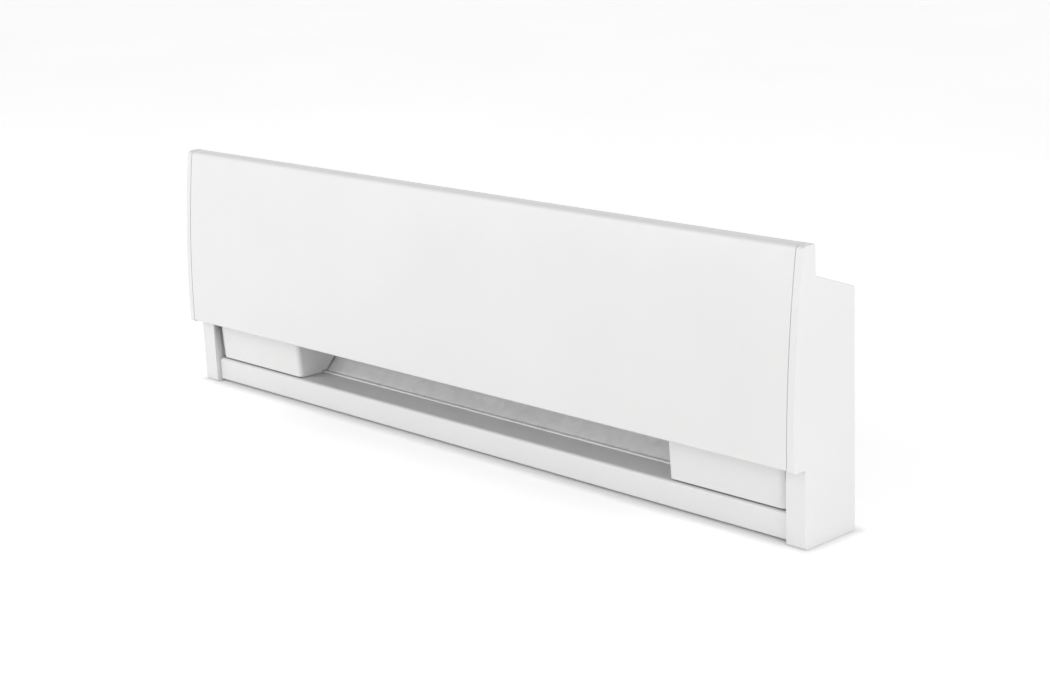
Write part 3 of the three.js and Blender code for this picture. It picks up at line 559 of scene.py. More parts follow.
def bright_metal(name, dark, light, rough=(0.22, 0.38), grain=1300, metallic=1.0):
    """Plated or bare metal: clouded tone, small scratches and a fine grain."""
    finish = Finish(name, metallic=metallic)
    finish.clouded(240, 5, dark, light)
    finish.roughness(finish.noise(520, 4), *rough)
    finish.relief((finish.noise(grain, 3, (0.12, 1, 1)), 0.005), (finish.noise(grain * 2, 1), 0.002))
    return finish.material


def moulded_plastic(name, dark, light, rough=(0.42, 0.58), grain=0.012):
    """Moulded plastic with a fine spark-eroded grain."""
    finish = Finish(name)
    finish.clouded(60, 4, dark, light)
    finish.roughness(finish.noise(900, 3), *rough)
    finish.relief((finish.noise(1900, 2), grain))
    return finish.material


def wire_jacket(name, dark, light):
    """Glossy extruded insulation, slightly uneven along its length."""
    finish = Finish(name, coat=0.3, coat_roughness=0.15)
    finish.clouded(120, 3, dark, light)
    finish.roughness(finish.noise(700, 3), 0.28, 0.44)
    finish.relief((finish.noise(420, 3), 0.02))
    return finish.material


def fired_ceramic(name):
    """Unglazed steatite: off-white, with a fine tooth and a few darker specks."""
    finish = Finish(name, specular=0.35)
    tone = finish.blended(finish.noise(180, 4), (0.3, (0.80, 0.77, 0.70)), (0.7, (0.89, 0.87, 0.82)))
    specks = finish.spread(finish.noise(1400, 2), 0.0, 0.5, 0.66, 0.74)
    finish.color(finish.mixed(specks, tone, (0.55, 0.50, 0.43)))
    finish.roughness(finish.noise(800, 2), 0.62, 0.80, 0.0, 1.0)
    finish.relief((finish.noise(1700, 3), 0.02))
    return finish.material


MATERIALS = {
    "white_paint": powder_coat("satin_powder_coat"),
    "galvanised_steel": galvanised_sheet("galvanised_sheet"),
    "sheath_steel": heated_sheath("heated_sheath"),
    "fin_aluminium": rolled_aluminium("rolled_aluminium"),
    "zinc_plate": bright_metal("bright_zinc", (0.58, 0.60, 0.62), (0.76, 0.77, 0.78)),
    "brass": bright_metal("brass", (0.60, 0.46, 0.22), (0.80, 0.66, 0.36)),
    "copper": bright_metal("copper", (0.55, 0.28, 0.16), (0.84, 0.52, 0.36)),
    "ceramic": fired_ceramic("fired_ceramic"),
    "black_plastic": moulded_plastic("black_plastic", (0.022, 0.022, 0.024), (0.040, 0.040, 0.043)),
    "grey_plastic": moulded_plastic("grey_nylon", (0.32, 0.33, 0.34), (0.42, 0.43, 0.44)),
    "orange_plastic": moulded_plastic("orange_plastic", (0.62, 0.19, 0.03), (0.80, 0.29, 0.06)),
    "red_insulation": wire_jacket("red_jacket", (0.36, 0.025, 0.020), (0.52, 0.05, 0.035)),
    "black_insulation": wire_jacket("black_jacket", (0.018, 0.018, 0.020), (0.035, 0.035, 0.037)),
    "green_steel": bright_metal("green_zinc", (0.03, 0.24, 0.08), (0.08, 0.42, 0.16), metallic=0.6),
    "rubber": moulded_plastic(
        "black_rubber", (0.018, 0.018, 0.019), (0.034, 0.034, 0.035), (0.65, 0.85), 0.03
    ),
}


# ---- Camera, light and floor ----

FOCAL_RATIO = 1.9605  # focal length over the picture's width
SENSOR = 36
CAMERA_PLACE = (1166.8, -1013.0, 489.0)
CAMERA_YAW = 47.06
CAMERA_PITCH = 14.82
CAMERA_ROLL = -2.47

HORIZON_GLOW = 1.32
ZENITH_GLOW = 0.56
KEY_POWER = 7
LEFT_POWER = 5.2
RIGHT_POWER = 9.5
FLOOR_GLOW = 0.27
# The floor's glow fades to nothing over this width round the heater, which paints a contact shadow.
PAINTED_SHADOW_WIDTH = 9  # over this width round the heater
FLOOR_REACH = 14000


def make_camera():
    data = bpy.data.cameras.new("camera")
    data.sensor_width = SENSOR
    data.lens = FOCAL_RATIO * SENSOR
    data.clip_start = 0.05
    data.clip_end = 50
    yaw, pitch, roll = (math.radians(a) for a in (CAMERA_YAW, CAMERA_PITCH, CAMERA_ROLL))
    ahead = Vector((-math.sin(yaw) * math.cos(pitch), math.cos(yaw) * math.cos(pitch), -math.sin(pitch)))
    level = Vector((math.cos(yaw), math.sin(yaw), 0))
    upright = level.cross(ahead)
    right = level * math.cos(roll) + upright * math.sin(roll)
    up = upright * math.cos(roll) - level * math.sin(roll)
    camera = new_object("camera", data)
    turn = Matrix((right, up, -ahead)).transposed().to_4x4()
    x, y, z = CAMERA_PLACE
    camera.matrix_world = Matrix.Translation(Vector((x, y + FRONT_Y, z)) * MM) @ turn
    bpy.context.scene.camera = camera


def soft_box(name, place, target, size, power):
    data = bpy.data.lights.new(name, "AREA")
    data.shape = "RECTANGLE"
    data.size, data.size_y = size
    data.energy = power
    lamp = new_object(name, data)
    lamp.location = place
    lamp.rotation_mode = "QUATERNION"
    lamp.rotation_quaternion = (Vector(target) - Vector(place)).to_track_quat("-Z", "Y")


def make_studio():
    """A pale surround, brightest up to a little above the horizon, and soft boxes that shape it."""
    world = bpy.data.worlds.new("studio")
    world.use_nodes = True
    tree = world.node_tree
    direction = tree.nodes.new("ShaderNodeTexCoord").outputs["Generated"]
    parts = tree.nodes.new("ShaderNodeSeparateXYZ")
    glow = tree.nodes.new("ShaderNodeMapRange")
    tree.links.new(direction, parts.inputs["Vector"])
    tree.links.new(parts.outputs["Z"], glow.inputs["Value"])
    glow.inputs["From Min"].default_value = 0.20
    glow.inputs["From Max"].default_value = 0.70
    glow.inputs["To Min"].default_value = HORIZON_GLOW
    glow.inputs["To Max"].default_value = ZENITH_GLOW
    sky = tree.nodes["Background"]
    sky.inputs["Color"].default_value = (1.0, 1.0, 1.0, 1.0)
    tree.links.new(glow.outputs["Result"], sky.inputs["Strength"])
    bpy.context.scene.world = world
    bpy.context.scene.view_settings.view_transform = "Standard"
    soft_box("key", (-1.2, -1.6, 1.35), (0, 0, 0.1), (0.7, 0.7), KEY_POWER)
    soft_box("left_front", (-1.1, -1.5, 0.5), (-0.2, 0, 0.1), (1.0, 0.5), LEFT_POWER)
    soft_box("right_side", (1.9, -0.4, 0.65), (0.34, 0, 0.1), (1.0, 1.0), RIGHT_POWER)


def floor_glow_with_painted_shadow(finish):
    """The floor's own glow, faded out just round the heater and under it: a painted contact shadow."""
    place = finish.place
    steps = (
        ("SUBTRACT", (0, FRONT_Y + DEPTH / 2, 0)), ("ABSOLUTE", (0, 0, 0)),
        ("SUBTRACT", (HALF, DEPTH / 2, 0)), ("MAXIMUM", (0, 0, 0)), ("LENGTH", (0, 0, 0)),
    )
    for operation, amount in steps:
        node = finish.node("VectorMath")
        node.operation = operation
        node.inputs[1].default_value = Vector(amount) * MM
        finish.link(place, node, 0)
        place = node.outputs[0]
    return finish.spread(node.outputs["Value"], 0.0, FLOOR_GLOW, 0.0, PAINTED_SHADOW_WIDTH * MM)


def make_floor():
    corners = [(x * FLOOR_REACH, y * FLOOR_REACH, 0) for x, y in ((-1, -1), (1, -1), (1, 1), (-1, 1))]
    floor = mesh_object("floor", corners, [(0, 1, 2, 3)])
    finish = Finish("pale_floor", specular=0.2)
    finish.clouded(3, 3, (0.90, 0.90, 0.90), (0.93, 0.93, 0.93))
    finish.roughness(finish.noise(40, 3), 0.75, 0.85, 0.0, 1.0)
    finish.shader.inputs["Emission Color"].default_value = (1.0, 1.0, 1.0, 1.0)
    # The emission fades out near and under the heater: a painted contact shadow on the floor.
    finish.link(floor_glow_with_painted_shadow(finish), finish.shader, "Emission Strength")
    floor.data.materials.append(finish.material)


make_camera()
make_studio()
make_floor()


# ---- Casing ----


def front_panel():
    body = panel_curve(PANEL_BOTTOM, HEIGHT, 2.2, 4)
    fold = [(-4, PANEL_BOTTOM + 4.2), (-4, PANEL_BOTTOM, 1.4)]
    corners = [*fold, *body, (TOP_REAR, HEIGHT, 2), (TOP_REAR, 188)]
    panel = sheet(corners, PANEL_SHEET, -PANEL_HALF, PANEL_HALF)
    notches = []
    for i in (1, 2, 3):
        x = middle(f"panel_hook_{i}").x
        notches.append(block((x - 4.5, x + 4.5), (TOP_REAR - 2.2, TOP_REAR + 1), (186, 203)))
    finished(cut(panel, *notches), "front_panel", bevel=0.35)


def cap_outline():
    corners = [
        (0, 0, 2.2), (0, WING_BOTTOM, 0.8), *panel_curve(WING_BOTTOM, HEIGHT, 2.6, 4),
        (TOP_REAR, HEIGHT, 1.6), (TOP_REAR, SHOULDER_HEIGHT, 0.8), (DEPTH, BACK_HEIGHT, 1.6), (DEPTH, 0, 2.2),
    ]
    return rounded(corners, closed=True, steps=6)


def cap_pocket():
    behind = DEPTH + 4
    rim_drop = CAP_RIM * 1.06
    rear = TOP_REAR - CAP_RIM
    corners = [
        (CAP_RIM, CAP_RIM, 1), (CAP_RIM, WING_BOTTOM + CAP_RIM),
        *panel_curve(WING_BOTTOM + CAP_RIM, HEIGHT - CAP_RIM, 1, 2.4, CAP_RIM),
        (rear, HEIGHT - CAP_RIM), (rear, shoulder_z(rear) - rim_drop),
        (behind, shoulder_z(behind) - rim_drop), (behind, CAP_RIM),
    ]
    return rounded(corners, closed=True, steps=6)


def cap_solid(side, edge=0.8, steps=5):
    """The cap's outline along X, with a rounded edge all round its outer side."""
    outline = cap_outline()
    levels = [(CAP_INNER, 0.0), (HALF - edge, 0.0)]
    for i in range(1, steps + 1):
        angle = math.pi / 2 * i / steps
        levels.append((HALF - edge + edge * math.sin(angle), edge * (1 - math.cos(angle))))
    rings = []
    for x, inset in levels:
        ring = offset(outline, inset, closed=True) if inset else outline
        rings.append([(side * x, *p) for p in ring])
    return lofted(rings)


def beside(side, inner, outer):
    return (-outer, -inner) if side < 0 else (inner, outer)


def end_cap(name, side):
    screw = middle(f"{name}_cap_screw")
    pocket = prism(cap_pocket(), *beside(side, CAP_INNER - 1, HALF - CAP_SIDE))
    wing_inside = beside(side, CAP_INNER - 1, HALF - WING_WIDTH)
    panel_end = block(wing_inside, (-PANEL_STANDOFF - 1, TOP_REAR + 1), (WING_BOTTOM, HEIGHT + 1))
    sink = turned([(0, -1), (4.5, -1), (SCREW_HOLE, CAP_RIM), (SCREW_HOLE, 3), (0, 3)], (screw.x, screw.y, 0))
    cap = cut(cap_solid(side), pocket, panel_end, sink)
    return_wall = block(beside(side, CAP_INNER, CAP_INNER + 1.4), (0.8, 9.6), (0.8, WING_BOTTOM - 0.2))
    flange_reach = beside(side, CAP_INNER - CAP_FLANGE, CAP_INNER + 1.4)
    flange = block(flange_reach, (8.4, 9.6), (22.9, WING_BOTTOM - 0.2))
    finished(fused(cap, return_wall, flange), f"{name}_end_cap", bevel=0.22)


def bottom_rail():
    end = high("bottom_rail").x
    corners = [
        (14, RAIL_BOTTOM), (RAIL_FRONT, RAIL_BOTTOM, 1.2), (RAIL_FRONT, FLOOR_HEIGHT, 2.6),
        (FLOOR_REAR, FLOOR_HEIGHT, 1.4), (FLOOR_REAR, 3.5),
    ]
    rail = sheet(corners, RAIL_SHEET, -end, end)
    tools = []
    for name, side in ENDS:
        grommet = middle(f"{name}_grommet")
        tools.append(drill(6, 18, 24, (grommet.x, grommet.y, 0)))
        for screw in (f"{name}_earth_screw", f"{name}_clamp_screw", f"{name}_box_screw"):
            at = middle(screw)
            tools.append(drill(SCREW_HOLE, 18, 24, (at.x, at.y, 0), sides=24))
        radius = 3.6
        x, z = end - radius, FLOOR_HEIGHT - radius
        angles = [math.pi / 16 * i for i in range(9)]
        notch = [(x + radius * math.sin(a), z + radius * math.cos(a)) for a in angles]
        notch += [(end + 2, z), (end + 2, FLOOR_HEIGHT + 2), (x, FLOOR_HEIGHT + 2)]
        tools.append(prism([(side * a, b) for a, b in notch], RAIL_FRONT - 1, RAIL_FRONT + 4, "y"))
    finished(cut(rail, *tools), "bottom_rail", bevel=0.25)


def knock_out(x, y, z, radius, axis):
    """A ring groove that all but frees a round blank, with two bridges left."""
    tools = []
    for turn in (0, 1):
        points = []
        start = math.radians(14 + 180 * turn)
        for r, order in ((radius, 1), (radius - 0.5, -1)):
            angles = [start + math.radians(152) * i / 20 for i in range(21)][::order]
            points += [(r * math.cos(a), r * math.sin(a)) for a in angles]
        across, span = (z, (y - 0.45, y + 1)) if axis == "y" else (y, (z - 1, z + 0.45))
        tools.append(prism([(x + a, across + b) for a, b in points], *span, axis))
    return tools


def capsule(half_length, radius, depth, centre, upright=False):
    """A long shallow swelling: along X and out along Y, or upright and out along X."""
    rings, sides = 5, 32
    places = []
    for i in range(rings):
        angle = math.pi / 2 * i / rings
        for s in range(sides):
            turn = 2 * math.pi * (s + 0.5) / sides
            shift = half_length if math.cos(turn) > 0 else -half_length
            reach = radius * math.cos(angle)
            places.append((shift + reach * math.cos(turn), reach * math.sin(turn), depth * math.sin(angle)))
    crest = len(places)
    places += [(-half_length, 0, depth), (half_length, 0, depth)]
    faces = [tuple(range(sides - 1, -1, -1))]
    for i in range(rings - 1):
        for s in range(sides):
            t = (s + 1) % sides
            faces.append((i * sides + s, i * sides + t, (i + 1) * sides + t, (i + 1) * sides + s))
    last = (rings - 1) * sides
    for s in range(sides):
        t = (s + 1) % sides
        here, there = (crest + (places[last + k][0] > 0) for k in (s, t))
        tip = (here,) if here == there else (there, here)
        faces.append((last + s, last + t, *tip))
    placed = [(w, v, u) if upright else (u, w, v) for u, v, w in places]
    return mesh_object("capsule", [tuple(c + q for c, q in zip(centre, p)) for p in placed], faces)


def back_shell():
    hood = shoulder_z(HOOD_LIP_Y) - HOOD_DROP
    end = high("back_shell").x
    corners = [
        (HOOD_LIP_Y, hood - HOOD_LIP), (HOOD_LIP_Y, hood, 1.6), (DEPTH, BACK_HEIGHT - HOOD_DROP, 2),
        (DEPTH, SHELL_BOTTOM, 2), (low("back_shell").y, SHELL_BOTTOM),
    ]
    shell = sheet(corners, SHEET, -end, end)
    ribs = [capsule(190, 5, -0.9, (7, DEPTH - SHEET, z)) for z in (62, 118)]
    tools = [capsule(189, 4, -0.8, (7, DEPTH + 0.01, z)) for z in (62, 118)]
    for name, side in ENDS:
        tools.append(drill(1.9, -3, 1, (side * 280, DEPTH, 125), "y", 32))
        for x in (252, 296):
            tools += knock_out(side * x, DEPTH - 0.1, 46, KNOCK_OUT_RADIUS, "y")
        tools += knock_out(side * 272, 36, SHELL_BOTTOM + 0.1, KNOCK_OUT_RADIUS, "z")
        screw = middle(f"{name}_cap_screw")
        tools.append(drill(SCREW_HOLE, 0, 5, (screw.x, screw.y, 0), sides=24))
    finished(cut(fused(shell, *ribs), *tools), "back_shell", bevel=0.2)


def heat_reflector():
    corners = [
        (REFLECTOR_HEM_Y, REFLECTOR_HEM_Z), (REFLECTOR_BEND_Y, REFLECTOR_HEM_Z, 1.5),
        (REFLECTOR_Y, REFLECTOR_HEM_Z + REFLECTOR_Y - REFLECTOR_BEND_Y, 2.5),
        (REFLECTOR_Y, REFLECTOR_TOP, 2), (REFLECTOR_Y - 3.7, REFLECTOR_TOP + 6),
    ]
    start, end = low("heat_reflector").x, high("heat_reflector").x
    plate = sheet(corners, REFLECTOR_SHEET, start, end)
    roll = rod(0.8, start, end, (0, REFLECTOR_HEM_Y + 0.8, REFLECTOR_HEM_Z - 0.25), 20, 0.1)
    beads = [capsule(80, 3, -0.7, (x, REFLECTOR_Y + 0.02, z)) for x in (-100, 114) for z in (72, 142)]
    finished(fused(plate, roll, *beads), "heat_reflector", bevel=0.15, angle=50)


front_panel()
bottom_rail()
back_shell()
heat_reflector()
for end_name, end_side in ENDS:
    end_cap(end_name, end_side)


# ---- Screws, hooks and clips ----


def threaded(start, end, radius=SCREW_SHANK, pitch=0.9, depth=0.28):
    """The flank of a turned thread, as (radius, distance) places from start to end."""
    places = []
    count = int(abs(end - start) / pitch)
    step = (end - start) / count
    for i in range(count):
        places += [(radius, start + i * step), (radius - depth, start + (i + 0.5) * step)]
    return [*places, (radius, end)]


def slot_outline(angle, centre, start, end, half_width):
    """A rectangle that reaches from start to end along a line at an angle through centre."""
    out, across = Vector((math.cos(angle), math.sin(angle))), Vector((-math.sin(angle), math.cos(angle)))
    places = ((start, -half_width), (end, -half_width), (end, half_width), (start, half_width))
    return [Vector(centre) + out * a + across * b for a, b in places]


def with_recess(screw, x, y, zs, node):
    """Cuts a cross recess, turned a little differently on each screw."""
    angle = math.radians(23 * len(node))
    turns = (angle, angle + math.pi / 2)
    return cut(screw, *(prism(slot_outline(turn, (x, y), -1.7, 1.7, 0.4), *zs, "z") for turn in turns))


def pan_screw(node):
    at, under_head = middle(node), high(node).z - 2.2
    profile = [(0, -7), *threaded(-5.8, -0.6), (SCREW_SHANK, 0), (3, 0), (3, 0.9), (2.85, 1.3), (2.4, 1.75)]
    screw = turned([*profile, (1.5, 2.1), (0, 2.2)], (at.x, at.y, under_head))
    screw = with_recess(screw, at.x, at.y, (under_head + 0.9, under_head + 3), node)
    finished(screw, node, bevel=0.06, segments=2, angle=50)


def cap_screw(node):
    at = middle(node)
    profile = [(0, 0.15), (2.9, 0.15), (2.9, 0.3), (SCREW_SHANK, CAP_RIM - 0.15), *threaded(2, 8), (0, 9.2)]
    screw = with_recess(turned(profile, (at.x, at.y, 0)), at.x, at.y, (-1, 1.1), node)
    finished(screw, node, bevel=0.06, segments=2, angle=50)


def panel_hook(node):
    x = middle(node).x
    top = high(node).z
    rear, lip = DEPTH - SHEET - GAP, HOOD_LIP_Y + SHEET + GAP
    lip_foot = shoulder_z(HOOD_LIP_Y) - HOOD_DROP - HOOD_LIP - GAP
    corners = [
        (rear, 158.5, 1.5), (rear, shoulder_z(DEPTH) - HOOD_DROP - SHEET - 0.8, 1),
        (lip, shoulder_z(HOOD_LIP_Y) - HOOD_DROP - SHEET - 1), (lip, lip_foot),
        (HOOD_LIP_Y - 2, lip_foot), (14, 190, 3), (HOOK_Y + 1.5, 196.5, 1), (HOOK_Y + 1.5, top, 0.9),
        (HOOK_Y - 1.5, top, 0.9), (HOOK_Y - 1.5, 190, 3), (14, 177, 3), (31, 162, 4),
    ]
    plate = prism(rounded(corners, closed=True), x - 1, x + 1)
    holes = [
        drill(radius, -3, 3, (x, y, z), "x", 32)
        for radius, y, z in ((2.2, 42, 166.5), (1.5, 22.5, 178.5))
    ]
    finished(cut(plate, *holes), node, bevel=0.22)


def panel_clip(node):
    x0, x1 = low(node).x, high(node).x
    base, reach = BOX_FRONT_Y - GAP, 68
    tip = panel_y(reach) + PANEL_SHEET + CLIP_SHEET + 0.5
    corners = [
        (tip + 3, reach - 5), (tip, reach, 1.2), (tip + 3.5, reach + 6, 2), (base, reach + 10, 2),
        (base, reach + 24),
    ]
    strip = sheet(corners, -CLIP_SHEET, x0, x1)
    centre = ((x0 + x1) / 2, base - CLIP_SHEET, reach + 18)
    rivet = turned([(0, 0.2), (2.5, 0.2), (2.4, -0.5), (1.7, -1.0), (0, -1.2)], centre, "y", 32)
    finished(fused(strip, rivet), node, bevel=0.15)


# ---- Wiring compartments ----


def partition_span(side, name):
    inner = min(abs(low(f"{name}_compartment_box").x), abs(high(f"{name}_compartment_box").x))
    return inner, inner + SHEET


def compartment_box(name, side):
    node = f"{name}_compartment_box"
    inner, outer = partition_span(side, name)
    end = high("bottom_rail").x
    floor = low(node).z
    hem_front, above_hem, rear = REFLECTOR_HEM_Y - 1, REFLECTOR_HEM_Z + 2.2, REFLECTOR_Y - 0.6
    corners = [
        (BOX_FRONT_Y, BOX_TOP, 2), (BOX_FRONT_Y, BOX_BOTTOM), (9.2, BOX_BOTTOM, 1), (9.2, floor),
        (hem_front, floor), (hem_front, above_hem, 0.6), (REFLECTOR_BEND_Y - 0.5, above_hem, 1),
        (rear, above_hem + REFLECTOR_Y - REFLECTOR_BEND_Y, 1.5), (rear, BOX_TOP - 4, 1),
        (REFLECTOR_Y - 4, BOX_TOP),
    ]
    partition = prism(rounded(corners, closed=True), *beside(side, inner, outer))
    cover = sheet(
        [(BOX_FRONT_Y, BOX_BOTTOM), (BOX_FRONT_Y, BOX_TOP, 2), (REFLECTOR_Y - 4, BOX_TOP)], SHEET,
        *beside(side, inner + 0.01, end),
    )
    foot = block(beside(side, inner + 0.01, outer + 12), (11, 25), (floor, floor + SHEET))
    bead = capsule(30, 4, -0.9, ((inner + end) / 2 * side, BOX_FRONT_Y + SHEET + 0.9, 126))
    x = (inner + outer) / 2 * side
    tools = [drill(8, -4, 4, on_axis(x), "x", 64)]
    if side > 0:
        tube = middle("capillary_tube")
        tools.append(drill(3, -4, 4, (x, tube.y, tube.z), "x", 32))
    screw = middle(f"{name}_box_screw")
    tools.append(drill(SCREW_HOLE, 20, 26, (screw.x, screw.y, 0), sides=32))
    tools.append(capsule(29, 3, 0.6, ((inner + end) / 2 * side, BOX_FRONT_Y - 0.01, 126)))
    finished(cut(fused(partition, cover, foot, bead), *tools), node, bevel=0.18)


def cover_line(cover_x, side, end, inset):
    """The cover's plan, from its outer edge round the bend and back along the side wall."""
    line = []
    for i in range(9):
        t = 1 - i / 8
        line.append((side * (end - COVER_ROLL * (1 - t)), COVER_TOP_Y + inset + COVER_ROLL_DEPTH * t * t))
    centre = Vector((cover_x + side * COVER_BEND, COVER_TOP_Y + COVER_BEND))
    radius = COVER_BEND - inset
    for i in range(13):
        angle = math.pi / 2 * i / 12
        line.append((centre.x - side * radius * math.sin(angle), centre.y - radius * math.cos(angle)))
    return [*line, (cover_x + side * inset, REFLECTOR_Y - 2.6)]


def wiring_cover(name, side):
    node = f"{name}_wiring_cover"
    cover_x = high(node).x if side < 0 else low(node).x
    bottom, top = low(node).z, high(node).z
    end = max(abs(low(node).x), abs(high(node).x))
    outer = cover_line(cover_x, side, end, 0)
    inner = cover_line(cover_x, side, end, COVER_SHEET)
    outline = [*outer, *reversed(inner)]
    levels = 6
    rings = []
    for k in range(levels + 1):
        z = bottom + (top - bottom) * k / levels
        shift = COVER_LEAN * (top - z) / (top - bottom)
        rings.append([(x, y + shift, z) for x, y in outline])
    plate = lofted(rings, sheet_ends(len(outer), 0, levels * len(outline)))
    tab_x = abs(cover_x) + 40
    tab_y = (COVER_TOP_Y + 0.5, BOX_FRONT_Y + 8)
    tab = block(beside(side, tab_x, tab_x + 16), tab_y, (top - COVER_SHEET, top))
    wall_bottom, behind, foot = REFLECTOR_HEM_Z + 1.3, REFLECTOR_Y + 2, REFLECTOR_BEND_Y - 1.4
    front = COVER_TOP_Y + COVER_LEAN + COVER_BEND
    corners = [
        (front, bottom - 1), (front, wall_bottom), (foot, wall_bottom, 3),
        (behind, wall_bottom + behind - foot), (behind, bottom - 1),
    ]
    trim = prism(rounded(corners, closed=True), cover_x - 3, cover_x + 3)
    finished(cut(fused(plate, tab), trim), node, bevel=0.25)


def cable_clamp(node):
    x0, x1 = low(node).x, high(node).x
    foot = low(node).z
    screw = middle(node.replace("cable_clamp", "clamp_screw"))
    corners = [
        (8.5, foot + SHEET), (15, foot + SHEET, 1), (16.5, foot + 6.5, 2), (23, foot + 6.5, 2),
        (24.5, foot + SHEET),
    ]
    strap = sheet(corners, SHEET, x0, x1)
    hole = drill(SCREW_HOLE, 20, 26, (screw.x, screw.y, 0), sides=32)
    thirds = ((x0 * 2 + x1) / 3, (x0 + x1 * 2) / 3)
    teeth = [block((x - 0.4, x + 0.4), (18, 22.5), (foot + 6, foot + 7)) for x in thirds]
    finished(cut(strap, hole, *teeth), node, bevel=0.16)


def grommet(node):
    at = middle(node)
    sheet_low, sheet_high = FLOOR_HEIGHT - RAIL_SHEET - 0.3, FLOOR_HEIGHT + 0.3
    profile = [
        (3.3, sheet_low - 1.0), (3.7, sheet_low - 1.4), (6.8, sheet_low - 1.4), (7.4, sheet_low - 0.9),
        (7.4, sheet_low), (5.6, sheet_low), (5.6, sheet_high), (7.4, sheet_high), (7.4, sheet_high + 0.9),
        (6.8, sheet_high + 1.4), (3.7, sheet_high + 1.4), (3.3, sheet_high + 1.0),
    ]
    finished(turned(profile, (at.x, at.y, 0), sides=64), node, bevel=0.15)


def wire_connector(node, mouth, direction):
    """A twist-on cup with a ribbed grip."""
    at = middle(node)
    profile = [
        (2.6, 0), (5.0, 0), (5.4, 0.5), (5.35, 1.8), (5.2, 2.4), (4.9, 9), (4.2, 13), (3.5, 16.6),
        (2.6, 17.7), (0, 18), (0, 13), (2.6, 12),
    ]
    cup = turned(profile, (at.x, at.y, mouth), sides=96, direction=direction)
    for vertex in cup.data.vertices:
        place = vertex.co / MM - Vector((at.x, at.y + FRONT_Y, mouth))
        height, reach = abs(place.z), Vector((place.x, place.y)).length
        if reach > 3.2 and 2.1 < height < 16.9:
            angle = math.atan2(place.y, place.x)
            shrink = 1 - 0.035 * (1 - math.cos(angle * 16))
            vertex.co.x += (shrink - 1) * place.x * MM
            vertex.co.y += (shrink - 1) * place.y * MM
    finished(cup, node, bevel=0.1, segments=2, angle=50)


def lead(node, places):
    finished(swept(smooth_path(places), circle(WIRE_RADIUS)), node, bevel=0)


def return_lead():
    x, y = abs(middle("right_grommet").x), middle("right_grommet").y
    start = low("left_terminal_lug").x + 7
    end = middle("return_connector")
    wireway = 9.5
    places = [
        on_axis(start), on_axis(start - 14), (-x + 2, 25, 92),
        (-x - 2, 21.5, 66), (-x, y, 38), (-x, y, 21), (-x + 5, y + 1, 12), (-x + 18, y + 2, wireway),
        (-x + 60, y + 2, wireway), (0, y + 2, wireway), (x - 60, y + 2, wireway),
        (x - 18, y + 2, wireway), (x - 5, y + 1, 12), (x, y, 21), (x, y, 30), (end.x, end.y, 46),
        (end.x, end.y, 62),
    ]
    lead("return_lead", places)


def limit_leads():
    start = high("right_terminal_lug").x - 7
    near, far = middle("limit_tab_1"), middle("limit_tab_2")
    tab_end = high("limit_tab_1").x + 0.4
    places = [
        on_axis(start), on_axis(start + 20), (start + 34, ELEMENT_Y - 1, 108),
        (start + 39, ELEMENT_Y - 3, 120), (start + 32, near.y, 131), (tab_end + 4, near.y, near.z),
        (tab_end, near.y, near.z),
    ]
    lead("limit_lead", places)
    end = middle("line_connector")
    places = [
        (tab_end, far.y, far.z), (tab_end + 6, far.y, far.z), (tab_end + 17, far.y, 128),
        (tab_end + 22, far.y - 2, 112), (end.x, end.y + 6, 92), (end.x, end.y, 78), (end.x, end.y, 66),
    ]
    lead("line_lead", places)


def limit_control():
    node = "limit_control"
    (x0, y0, z0), (x1, y1, z1) = low(node), high(node)
    outline = rounded([(y0, z0, 2), (y1, z0, 2), (y1, z1, 2), (y0, z1, 2)], closed=True)
    seam = x0 + (x1 - x0) * 0.6
    inner = offset(outline, -0.5, closed=True)
    housing = fused(
        prism(outline, x0, seam - 0.35), prism(inner, seam - 0.6, seam + 0.6),
        prism(outline, seam + 0.35, x1),
    )
    recess = block((x0 + 4, seam - 4), (y0 - 1, y0 + 0.6), (z0 + 5, z1 - 5))
    slot_places = (seam + 3, seam + 6, seam + 9)
    slots = [block((x, x + 1.2), (y0 + 4, y1 - 4), (z1 - 0.8, z1 + 1)) for x in slot_places]
    finished(cut(housing, recess, *slots), node, bevel=0.4)


def limit_tab(node):
    (x0, y0, z0), (x1, y1, z1) = low(node), high(node)
    outline = [(x0, y0), (x1 - 1.6, y0), (x1, y0 + 1.4), (x1, y1 - 1.4), (x1 - 1.6, y1), (x0, y1)]
    hole = drill(0.8, z0 - 1, z1 + 1, (x1 - 3.2, (y0 + y1) / 2, 0), sides=32)
    finished(cut(prism(outline, z0, z1, "z"), hole), node, bevel=0.12)


# ---- Element ----


def element_tube():
    start, end = low("element_tube").x, high("element_tube").x
    profile = [(0, start), (3.3, start), (3.75, start + 0.3), (3.8, start + 6), (TUBE_RADIUS, start + 8)]
    profile += [(TUBE_RADIUS, end - 8), (3.8, end - 6), (3.75, end - 0.3), (3.3, end), (0, end)]
    finished(turned(profile, on_axis(0), "x", 64), "element_tube", bevel=0)


